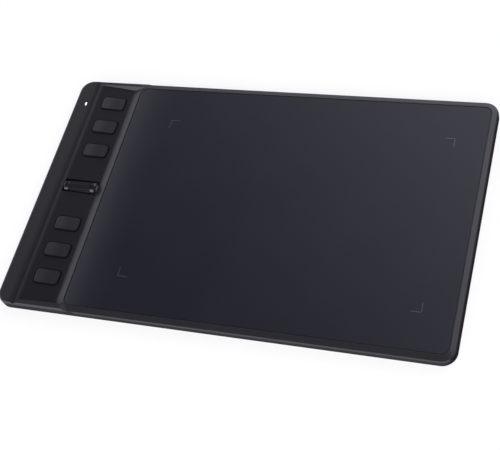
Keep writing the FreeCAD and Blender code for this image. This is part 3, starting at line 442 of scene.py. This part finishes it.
class Finish:
    """A material with its principled shader, built up step by step."""

    def __init__(self, name, base, roughness, metallic=0.0, specular=0.5):
        self.material = bpy.data.materials.new(name)
        self.material.use_nodes = True
        self.tree = self.material.node_tree
        self.base = tuple(base)
        self.roughness = roughness
        self.shade({"Base Color": self.base, "Roughness": roughness, "Metallic": metallic,
                    "Specular IOR Level": specular})

    def shade(self, entries):
        """Feed entries of the principled shader."""
        shader = self.tree.nodes["Principled BSDF"]
        for name, value in entries.items():
            feed(self.tree, value, shader.inputs[name])

    def bump(self, height, depth):
        """Raise the surface by a height, times a depth in metres."""
        node = add_node(self.tree, "ShaderNodeBump",
                        {"Strength": 1.0, "Distance": depth, "Height": height})
        self.shade({"Normal": node.outputs["Normal"]})

    def grain(self, width, depth, ripple=RIPPLE):
        """Fine grain in the normal and the roughness."""
        node = use_group(self.tree, "moulded_grain",
                         {"Grain Width": width, "Roughness": self.roughness, "Ripple": ripple})
        self.shade({"Roughness": node.outputs["Roughness"]})
        self.bump(node.outputs["Height"], depth)

    def dusted(self, given, amount):
        """A colour with a trace of dust over it."""
        return use_group(self.tree, "light_dust",
                         {"Color": given, "Amount": amount}).outputs["Color"]

    def toned(self, start, stops, first, second, dust):
        """Blend two colours along X with dust over them, and return the share of the second."""
        share = graded(self.tree, start, stops)
        tone = mix_colours(self.tree, share, first, second)
        self.shade({"Base Color": self.dusted(tone, dust)})
        return share

    def satin(self, weight, roughness):
        """A satin film over the plastic, its weight a value over the surface."""
        self.shade({"Coat Roughness": roughness, "Coat Weight": weight})


def plain_surface(name, base=None):
    """A finish as SURFACES gives it, in its own colour or a given one."""
    look = SURFACES[name]
    finish = Finish(name, look.base if base is None else base, look.roughness,
                    specular=look.specular)
    finish.grain(look.width, look.depth, look.ripple)
    if look.dust:
        finish.shade({"Base Color": finish.dusted(finish.base, look.dust)})
    return finish


def give(node_name, *materials, choose=None):
    """Give a CAD node its finish, or a finish to each face by its middle and normal."""
    node = NODES[node_name]
    node.data.materials.clear()
    for material in materials:
        node.data.materials.append(material)
    for face in node.data.polygons:
        face.material_index = choose(face.center, face.normal) if choose else 0


def cover_zone(middle, normal):
    """Slot of a face of the top cover: frame and ends, strip to ramp, or walls and right edge."""
    if abs(normal.z) < WALL_NORMAL and middle.z < WALL_TOP:
        return WALL_SLOT
    # Faces facing right at the right-hand edge take the wall finish, with its painted shade
    if middle.x > EDGE_START and normal.x > EDGE_NORMAL:
        return WALL_SLOT
    in_strip = middle.x < WELL_LEFT
    in_well = middle.x < RAMP_TOP and abs(middle.y) < WELL_HALF_DEPTH
    return STRIP_SLOT if normal.z > STRIP_NORMAL and (in_strip or in_well) else FRAME_SLOT


class TABLET_OT_case(bpy.types.Operator):
    """Give the top and bottom covers their moulded black, satin except in the key well, with paler
    side walls as painted light, painted shade in the strip's valley and at the right-hand edge,
    and a painted highlight along the ridge
    """
    bl_idname = "tablet.dress_case"
    bl_label = "Dress the case"

    def execute(self, context):
        case = context.scene.tablet_case
        upper = []
        # The strip's tone carries painted shade in the valley and a painted highlight along the
        # ridge
        for name, start, stops in (("case_plastic", EDGE_START, FRAME_EDGE_SHADE),
                                   ("strip_plastic", COVER_LOW.x, STRIP_SATIN_AND_SHADE)):
            plastic = Finish(name, case.case_colour, case.roughness, specular=CASE_SPECULAR)
            plastic.grain(case.grain, CASE_DEPTH)
            # In the frame this tone darkens at the right-hand edge as painted shade, and its satin
            # fades with it
            share = plastic.toned(start, stops, case.well_and_shade_colour, case.case_colour, CASE_DUST)
            weight = maths(plastic.tree, "MULTIPLY", share, case.satin)
            plastic.satin(weight, case.satin_roughness)
            upper.append(plastic.material)
        # Side walls in a paler black than the case, with little shine: painted light
        wall = Finish("wall_painted_light_and_shade", case.lit_wall_colour, case.wall_roughness,
                      specular=WALL_SPECULAR)
        wall.grain(case.grain, CASE_DEPTH)
        # Painted shade: the walls darken towards the right-hand edge
        wall.toned(EDGE_START, WALL_EDGE_SHADE, case.well_and_shade_colour, case.lit_wall_colour, CASE_DUST)
        give("top_cover", *upper, wall.material, choose=cover_zone)
        bottom = Finish("bottom_plastic", case.lit_wall_colour, case.roughness)
        bottom.grain(case.grain * BOTTOM_GRAIN, BOTTOM_DEPTH)
        bottom.shade({"Base Color": bottom.dusted(bottom.base, BOTTOM_DUST)})
        give("bottom_cover", bottom.material, wall.material,
             choose=lambda middle, normal: 1 if abs(normal.z) < WALL_NORMAL else 0)
        return {"FINISHED"}


class TABLET_OT_sheet(bpy.types.Operator):
    """Give the drawing sheet its matt tooth and a painted sheen along its left edge"""
    bl_idname = "tablet.dress_sheet"
    bl_label = "Dress the drawing sheet"

    def execute(self, context):
        look = context.scene.tablet_sheet
        sheet = Finish("drawing_sheet", look.sheet_colour, look.roughness)
        sheet.grain(look.tooth, SHEET_DEPTH, SHEET_RIPPLE)
        # Painted sheen: the sheet pales towards its left edge
        sheet.toned(SHEET_LOW.x, SHEET_SHEEN, look.sheet_colour, look.edge_sheen_colour, SHEET_DUST)
        give("drawing_surface", sheet.material)
        give("surface_adhesive", plain_surface("adhesive_film").material)
        return {"FINISHED"}


def new_tree(name, inputs):
    """An empty geometry tree with named inputs and one geometry output."""
    tree = bpy.data.node_groups.new(name, "GeometryNodeTree")
    for label, kind, default in inputs:
        entry = tree.interface.new_socket(label, in_out="INPUT", socket_type=kind)
        if default is not None:
            entry.default_value = default
    tree.interface.new_socket("Geometry", in_out="OUTPUT", socket_type="NodeSocketGeometry")
    given = add_node(tree, "NodeGroupInput").outputs
    return tree, given, add_node(tree, "NodeGroupOutput")


def finish_tree(tree, instances, leave, material):
    """End a tree in realised instances with their material."""
    realise = add_node(tree, "GeometryNodeRealizeInstances", {"Geometry": instances})
    dress = add_node(tree, "GeometryNodeSetMaterial",
                     {"Geometry": realise.outputs["Geometry"], "Material": material})
    feed(tree, dress.outputs["Geometry"], leave.inputs["Geometry"])
    return tree


def add_object(name, data):
    """A new object in the scene."""
    made = bpy.data.objects.new(name, data)
    bpy.context.scene.collection.objects.link(made)
    return made


def grown_mesh(name, tree, values, points=()):
    """Run a geometry tree once, on points if given, and keep its result as a plain mesh."""
    seed = bpy.data.meshes.new(name + "_holder")
    seed.from_pydata(list(points), [], [])
    holder = add_object(name + "_holder", seed)
    grow = holder.modifiers.new("grow", "NODES")
    grow.node_group = tree
    for item in tree.interface.items_tree:
        if item.in_out == "INPUT" and item.name in values:
            grow[item.identifier] = values[item.name]
    holder.update_tag()
    graph = bpy.context.evaluated_depsgraph_get()
    mesh = bpy.data.meshes.new_from_object(holder.evaluated_get(graph))
    bpy.data.objects.remove(holder)
    mesh.name = name
    if not mesh.polygons:
        raise RuntimeError(name + " came out empty")
    return add_object(name, mesh)


def mark_tree(material):
    """Four corner marks, each of two printed arms, round the drawing area."""
    tree, given, leave = new_tree("corner_marks", [
        ("Length", "NodeSocketFloat", 0.16), ("Depth", "NodeSocketFloat", 0.1),
        ("Arm", "NodeSocketFloat", 0.0056), ("Line", "NodeSocketFloat", 0.0004),
        ("Ink", "NodeSocketFloat", 0.00002), ("Centre", "NodeSocketVector", (0, 0, 0))])
    arms = add_node(tree, "GeometryNodeJoinGeometry")
    for along, across in (("Arm", "Line"), ("Line", "Arm")):
        size = add_node(tree, "ShaderNodeCombineXYZ",
                        {0: given[along], 1: given[across], 2: given["Ink"]}).outputs[0]
        bar = add_node(tree, "GeometryNodeMeshCube", {"Size": size})
        half = add_node(tree, "ShaderNodeVectorMath", {0: size, 1: (0.5, 0.5, 0.5)},
                        operation="MULTIPLY")
        move = add_node(tree, "GeometryNodeTransform",
                        {"Geometry": bar.outputs["Mesh"], "Translation": half.outputs[0]})
        feed(tree, move.outputs["Geometry"], arms.inputs[0])

    corners = add_node(tree, "GeometryNodeMeshGrid",
                       {"Vertices X": 2, "Vertices Y": 2, "Size X": given["Length"],
                        "Size Y": given["Depth"]})
    place = add_node(tree, "GeometryNodeInputPosition").outputs[0]
    sides = add_node(tree, "ShaderNodeSeparateXYZ", {0: place}).outputs
    angle = maths(tree, "ARCTAN2", maths(tree, "SIGN", sides["Y"]),
                  maths(tree, "SIGN", sides["X"]))
    turned = maths(tree, "ADD", angle, MARK_TURN)
    rotation = add_node(tree, "ShaderNodeCombineXYZ", {"Z": turned}).outputs[0]
    spread = add_node(tree, "GeometryNodeInstanceOnPoints",
                      {"Points": corners.outputs["Mesh"], "Instance": arms.outputs[0],
                       "Rotation": rotation})
    settle = add_node(tree, "GeometryNodeTransform",
                      {"Geometry": spread.outputs["Instances"], "Translation": given["Centre"]})
    return finish_tree(tree, settle.outputs["Geometry"], leave, material)


class TABLET_OT_marks(bpy.types.Operator):
    """Print the four corner marks of the drawing area on the sheet"""
    bl_idname = "tablet.print_marks"
    bl_label = "Print the corner marks"

    def execute(self, context):
        look = context.scene.tablet_sheet
        ink = Finish("mark_ink", look.mark_colour, INK_ROUGHNESS, specular=INK_SPECULAR)
        ink.grain(look.tooth, INK_DEPTH)
        values = {"Length": look.area_length, "Depth": look.area_depth, "Arm": look.mark_arm,
                  "Line": look.mark_width, "Ink": look.mark_ink,
                  "Centre": (look.area_x, look.area_y, SHEET_HIGH.z)}
        marks = grown_mesh("corner_marks", mark_tree(ink.material), values)
        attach(marks, "case")
        return {"FINISHED"}


class TABLET_OT_keys(bpy.types.Operator):
    """Give the six key caps their satin black with painted shade on their rims, and the parts
    under them their own finish
    """
    bl_idname = "tablet.dress_keys"
    bl_label = "Dress the keys"

    def execute(self, context):
        look = context.scene.tablet_controls
        cap = plain_surface("key_plastic", look.key_colour)
        cap.satin(graded(cap.tree, KEY_LOW.x, KEY_SATIN), KEY_SATIN_ROUGHNESS)
        # Darker rims round each cap: painted shade
        rim = plain_surface("key_rim_plastic", look.rim_shade_colour)
        inner = plain_surface("inner_plastic").material
        for index in range(1, KEY_COUNT + 1):
            give("key_%d" % index, cap.material, rim.material,
                 choose=lambda middle, normal: 0 if normal.z > KEY_TOP_NORMAL else 1)
            give("key_plunger_%d" % index, inner)
        for name in ("roller_core", "encoder_disc", "roller_bracket_left", "roller_bracket_right"):
            give(name, inner)
        give("key_switches", plain_surface("switch_plastic").material)
        return {"FINISHED"}


def turned_piece(name, profile, axis, steps):
    """A closed profile of (x, radius) points turned about a line along X."""
    mesh = bpy.data.meshes.new(name)
    form = bmesh.new()
    loops = []
    for index in range(steps):
        angle = 2 * math.pi * index / steps
        loops.append([form.verts.new((x, axis.y + radius * math.sin(angle),
                                      axis.z + radius * math.cos(angle)))
                      for x, radius in profile])
    count = len(profile)
    for index, loop in enumerate(loops):
        following = loops[(index + 1) % steps]
        for place in range(count):
            beyond = (place + 1) % count
            form.faces.new((loop[place], loop[beyond], following[beyond], following[place]))
    bmesh.ops.recalc_face_normals(form, faces=form.faces)
    form.to_mesh(mesh)
    form.free()
    mesh.shade_smooth()
    mesh.set_sharp_from_angle(angle=SHARP_ANGLE)
    return add_object(name, mesh)


def ring_profile(low, high, bore, rounding):
    """Half the section of an end ring: a small bevel inside, a large round at the outer end."""
    outer = (high.z - low.z) / 2
    bevel = RING_BEVEL * rounding
    outwards = 1 if low.x > CORE_LOW.x else -1
    inner_end, outer_end = (low.x, high.x) if outwards > 0 else (high.x, low.x)
    points = [(inner_end, bore), (inner_end, outer - bevel), (inner_end + outwards * bevel, outer)]
    for step in range(ROUND_STEPS + 1):
        angle = math.pi / 2 * step / ROUND_STEPS
        points.append((outer_end - outwards * rounding * (1 - math.sin(angle)),
                       outer - rounding * (1 - math.cos(angle))))
    return points + [(outer_end, bore)]


class TABLET_OT_roller(bpy.types.Operator):
    """Give the scroll roller its rubber grip and turn its two polished end rings"""
    bl_idname = "tablet.dress_roller"
    bl_label = "Dress the roller"

    def execute(self, context):
        look = context.scene.tablet_controls
        give("roller_grip", plain_surface("grip_rubber", look.rubber_colour).material)
        gloss = plain_surface("gloss_ring", look.gloss_colour)
        bore = (CORE_HIGH.z - CORE_LOW.z) / 2 + RING_GAP
        for side in ("left", "right"):
            low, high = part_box("roller_ring_" + side)
            profile = ring_profile(low, high, bore, look.ring_round)
            ring = turned_piece("polished_ring_" + side, profile, (low + high) / 2,
                                look.ring_steps)
            ring.data.materials.append(gloss.material)
            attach(ring, "roller")
            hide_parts("roller_ring_" + side)
        return {"FINISHED"}


def stretched_place(tree, scale):
    """The object coordinates with a pattern's own scale on each axis."""
    return add_node(tree, "ShaderNodeMapping",
                    {"Vector": object_place(tree), "Scale": scale}).outputs["Vector"]


def brushed_finish(name):
    """A metal of BRUSHED, with fine marks along X."""
    base, roughness, marks = BRUSHED[name]
    metal = Finish(name, base, roughness, metallic=1.0)
    place = stretched_place(metal.tree, (marks * BRUSH_STRETCH, marks, marks))
    noise = add_node(metal.tree, "ShaderNodeTexNoise",
                     {"Vector": place, "Scale": 1.0}).outputs["Fac"]
    rough = value_range(metal.tree, noise, *NOISE_SPAN, roughness * (1 - BRUSH_SWING),
                        roughness * (1 + BRUSH_SWING))
    metal.shade({"Roughness": rough})
    metal.bump(noise, BRUSH_DEPTH)
    return metal


def board_finish():
    """Green solder mask, paler where copper runs lie under it, and fairly glossy."""
    board = plain_surface("solder_mask")
    place = stretched_place(board.tree, (RUN_SCALE, RUN_SCALE, 1.0))
    runs = add_node(board.tree, "ShaderNodeTexBrick",
                    {"Vector": place, "Color1": MASK_COLOURS[0], "Color2": MASK_COLOURS[1],
                     "Mortar": RUN_COLOUR, "Mortar Size": RUN_WIDTH, "Scale": 1.0})
    board.shade({"Base Color": board.dusted(runs.outputs["Color"], BOARD_DUST)})
    return board


class TABLET_OT_inside(bpy.types.Operator):
    """Give the boards, chips, leads and metal parts their finishes"""
    bl_idname = "tablet.dress_inside"
    bl_label = "Dress the inner parts"

    def execute(self, context):
        green = board_finish().material
        steel = brushed_finish("plated_steel").material
        mould = plain_surface("chip_mould").material
        for name in ("sensor_board", "control_board"):
            give(name, green)
        for name in ("shield_plate", "roller_pin", "socket_shell", "board_screws"):
            give(name, steel)
        for name in ("controller_chips", "flex_connector", "encoder_housing", "socket_tongue"):
            give(name, mould)
        give("sensor_flex", plain_surface("flex_film").material)
        return {"FINISHED"}


class TABLET_OT_light(bpy.types.Operator):
    """Light the small white window in the strip"""
    bl_idname = "tablet.light_window"
    bl_label = "Light the window"

    def execute(self, context):
        look = context.scene.tablet_controls
        window = plain_surface("light_window")
        window.shade({"Emission Color": window.dusted(look.light_colour, WINDOW_DUST),
                      "Emission Strength": look.light_strength})
        give("indicator_light_pipe", window.material)
        give("indicator_lamp", window.material)
        return {"FINISHED"}


def island_centres(node):
    """The middle in plan of each loose part of a CAD node, and the radius of the widest."""
    form = bmesh.new()
    form.from_mesh(node.data)
    bmesh.ops.remove_doubles(form, verts=form.verts, dist=WELD_DISTANCE)
    left = set(form.verts)
    centres = []
    widest = 0.0
    while left:
        part = set()
        front = [left.pop()]
        while front:
            vert = front.pop()
            part.add(vert)
            for edge in vert.link_edges:
                other = edge.other_vert(vert)
                if other in left:
                    left.discard(other)
                    front.append(other)
        spots = [node.matrix_world @ vert.co for vert in part]
        low_x, high_x = min(spot.x for spot in spots), max(spot.x for spot in spots)
        low_y, high_y = min(spot.y for spot in spots), max(spot.y for spot in spots)
        centres.append(((low_x + high_x) / 2, (low_y + high_y) / 2, 0.0))
        widest = max(widest, (high_x - low_x) / 2)
    form.free()
    return sorted(centres), widest


def screw_tree(material):
    """A cross-recessed screw on every point: head, shank, and two crossed slots cut away."""
    tree, given, leave = new_tree("cross_screws", [
        ("Geometry", "NodeSocketGeometry", None), ("Head Radius", "NodeSocketFloat", 0.0019),
        ("Head Height", "NodeSocketFloat", 0.00045), ("Shank Radius", "NodeSocketFloat", 0.001),
        ("Shank Length", "NodeSocketFloat", 0.0036), ("Head Base", "NodeSocketFloat", 0.0),
        ("Slot Width", "NodeSocketFloat", 0.0005)])

    def raised(mesh, height):
        """A mesh moved up by a height."""
        place = add_node(tree, "ShaderNodeCombineXYZ", {"Z": height}).outputs[0]
        return add_node(tree, "GeometryNodeTransform",
                        {"Geometry": mesh, "Translation": place}).outputs["Geometry"]

    def cylinder(radius, height, base):
        """A cylinder that stands on a base."""
        form = add_node(tree, "GeometryNodeMeshCylinder",
                        {"Vertices": SCREW_SIDES, "Radius": radius, "Depth": height})
        half = maths(tree, "MULTIPLY", height, 0.5)
        return raised(form.outputs["Mesh"], maths(tree, "ADD", half, base))

    head = cylinder(given["Head Radius"], given["Head Height"], given["Head Base"])
    shank_base = maths(tree, "ADD", given["Head Base"], given["Head Height"])
    shank = cylinder(given["Shank Radius"], given["Shank Length"], shank_base)
    cut = add_node(tree, "GeometryNodeMeshBoolean", {"Mesh 1": head}, operation="DIFFERENCE",
                   solver="MANIFOLD")
    reach = maths(tree, "MULTIPLY", given["Head Radius"], SLOT_SHARE)
    for long_axis, short_axis in (("X", "Y"), ("Y", "X")):
        size = add_node(tree, "ShaderNodeCombineXYZ",
                        {long_axis: reach, short_axis: given["Slot Width"],
                         "Z": given["Head Height"]}).outputs[0]
        bar = add_node(tree, "GeometryNodeMeshCube", {"Size": size}).outputs["Mesh"]
        feed(tree, raised(bar, given["Head Base"]), cut.inputs["Mesh 2"])
    whole = add_node(tree, "GeometryNodeJoinGeometry", {0: cut.outputs["Mesh"]})
    feed(tree, shank, whole.inputs[0])
    spread = add_node(tree, "GeometryNodeInstanceOnPoints",
                      {"Points": given["Geometry"], "Instance": whole.outputs[0]})
    return finish_tree(tree, spread.outputs["Instances"], leave, material)


class TABLET_OT_under(bpy.types.Operator):
    """Give the rubber feet their finish and cut a cross into each case screw"""
    bl_idname = "tablet.dress_underside"
    bl_label = "Dress the underside"

    def execute(self, context):
        rubber = plain_surface("foot_rubber").material
        for name in NODES:
            if name.startswith("rubber_foot"):
                give(name, rubber)
        black = brushed_finish("black_screw").material
        centres, head_radius = island_centres(NODES["case_screws"])
        low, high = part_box("case_screws")
        values = {"Head Radius": head_radius, "Head Height": SCREW_HEAD,
                  "Shank Radius": head_radius * SHANK_SHARE,
                  "Shank Length": high.z - low.z - SCREW_HEAD,
                  "Head Base": low.z, "Slot Width": SCREW_SLOT}
        screws = grown_mesh("cross_screws", screw_tree(black), values, centres)
        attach(screws, "case")
        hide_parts("case_screws")
        return {"FINISHED"}


def floor_finish(base):
    """A pale floor that isn't there for eyes below it."""
    pale = Finish("pale_floor", base, FLOOR_ROUGHNESS, specular=0.0)
    tree = pale.tree
    noise = add_node(tree, "ShaderNodeTexNoise", {"Scale": FLOOR_SCALE}).outputs["Fac"]
    tint = value_range(tree, noise, 0.0, 1.0, base[0] * FLOOR_TINT, base[0])
    grey = add_node(tree, "ShaderNodeCombineColor", {0: tint, 1: tint, 2: tint}).outputs[0]
    pale.shade({"Base Color": grey})
    path = add_node(tree, "ShaderNodeLightPath").outputs
    shine = maths(tree, "MAXIMUM", path["Is Glossy Ray"], path["Is Transmission Ray"])
    seen = maths(tree, "MAXIMUM", path["Is Camera Ray"], shine)
    share = maths(tree, "MULTIPLY", seen, FLOOR_WHITE)
    white = add_node(tree, "ShaderNodeEmission", {"Strength": 1.0}).outputs[0]
    lit = tree.nodes["Principled BSDF"].outputs[0]
    blend = add_node(tree, "ShaderNodeMixShader", {0: share, 1: lit, 2: white}).outputs[0]
    below = add_node(tree, "ShaderNodeNewGeometry").outputs["Backfacing"]
    clear = add_node(tree, "ShaderNodeBsdfTransparent").outputs[0]
    last = add_node(tree, "ShaderNodeMixShader", {0: below, 1: blend, 2: clear}).outputs[0]
    feed(tree, last, tree.nodes["Material Output"].inputs["Surface"])
    return pale.material


def set_sky(stage):
    """A dim studio sky with soft bright panels in it."""
    world = bpy.data.worlds.new("studio_sky")
    world.use_nodes = True
    bpy.context.scene.world = world
    tree = world.node_tree
    place = add_node(tree, "ShaderNodeTexCoord").outputs["Generated"]
    total = stage.sky_level
    for aim, edge, full, strength in SKY_PANELS:
        lean = add_node(tree, "ShaderNodeVectorMath", {0: place, 1: Vector(aim).normalized()},
                        operation="DOT_PRODUCT").outputs["Value"]
        panel = value_range(tree, lean, edge, full, 0.0, strength * stage.panel_level,
                            smooth=True)
        total = maths(tree, "ADD", panel, total)
    background = tree.nodes["Background"].inputs
    feed(tree, total, background["Strength"])
    feed(tree, stage.sky_colour, background["Color"])


def set_lamp(stage):
    """A soft square lamp pointed at the tablet, left out of reflections."""
    lamp = bpy.data.lights.new("main_lamp", "AREA")
    lamp.size = LAMP_SIZE
    lamp.energy = stage.main_lamp
    holder = add_object("main_lamp", lamp)
    holder.location = LAMP_PLACE
    holder.visible_glossy = False
    holder.rotation_mode = "QUATERNION"
    holder.rotation_quaternion = (-Vector(LAMP_PLACE)).to_track_quat("-Z", "Y")


def set_camera(stage):
    """The camera at the photograph's viewing angle."""
    azimuth, elevation, roll = stage.azimuth, stage.elevation, stage.roll
    back = Vector((math.sin(azimuth) * math.cos(elevation),
                   -math.cos(azimuth) * math.cos(elevation), math.sin(elevation)))
    level = Vector((0, 0, 1)).cross(back).normalized()
    rise = back.cross(level)
    right = math.cos(roll) * level + math.sin(roll) * rise
    upward = -math.sin(roll) * level + math.cos(roll) * rise
    data = bpy.data.cameras.new("camera")
    data.sensor_width = SENSOR_WIDTH
    data.lens = stage.lens
    data.clip_start = CLIP_START
    camera = add_object("camera", data)
    turn = Matrix((right, upward, back)).transposed().to_4x4()
    place = Vector((stage.look_x, stage.look_y, 0)) + back * stage.distance
    camera.matrix_world = Matrix.Translation(place) @ turn
    bpy.context.scene.camera = camera


class TABLET_OT_stage(bpy.types.Operator):
    """Set the pale floor, the sky, the lamp and the camera"""
    bl_idname = "tablet.set_stage"
    bl_label = "Set the stage"

    def execute(self, context):
        stage = context.scene.tablet_stage
        corners = [(FLOOR_HALF * x, FLOOR_HALF * y, 0)
                   for x, y in ((-1, -1), (1, -1), (1, 1), (-1, 1))]
        mesh = bpy.data.meshes.new("floor")
        mesh.from_pydata(corners, [], [(0, 1, 2, 3)])
        mesh.materials.append(floor_finish(stage.floor_colour))
        floor = add_object("floor", mesh)
        set_sky(stage)
        set_lamp(stage)
        set_camera(stage)
        context.scene.view_settings.view_transform = "Standard"
        return {"FINISHED"}


class TABLET_PT_panel(bpy.types.Panel):
    """The operators and settings of the tablet, in order"""
    bl_idname = "TABLET_PT_panel"
    bl_label = "Graphics tablet"
    bl_space_type = "VIEW_3D"
    bl_region_type = "UI"
    bl_category = "Tablet"

    def draw(self, context):
        for operator in OPERATORS:
            self.layout.operator(operator.bl_idname)
        for name, group in SETTINGS.items():
            box = self.layout.box()
            for field in group.__annotations__:
                box.prop(getattr(context.scene, name), field)


SETTINGS = {"tablet_case": TabletCaseFinish, "tablet_sheet": TabletSheetFinish,
            "tablet_controls": TabletControlFinish, "tablet_stage": TabletStage}
OPERATORS = (TABLET_OT_case, TABLET_OT_sheet, TABLET_OT_marks, TABLET_OT_keys, TABLET_OT_roller,
             TABLET_OT_inside, TABLET_OT_light, TABLET_OT_under, TABLET_OT_stage)
CLASSES = (*SETTINGS.values(), *OPERATORS, TABLET_PT_panel)


def register():
    """Register the classes and hang the settings on the scene."""
    for item in CLASSES:
        bpy.utils.register_class(item)
    for name, group in SETTINGS.items():
        setattr(bpy.types.Scene, name, PointerProperty(type=group))


def unregister():
    """Take the settings off the scene and unregister the classes."""
    for name in SETTINGS:
        delattr(bpy.types.Scene, name)
    for item in reversed(CLASSES):
        bpy.utils.unregister_class(item)


def main():
    """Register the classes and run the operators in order."""
    register()
    for operator in OPERATORS:
        family, action = operator.bl_idname.split(".")
        getattr(getattr(bpy.ops, family), action)()


if __name__ == "__main__":
    main()
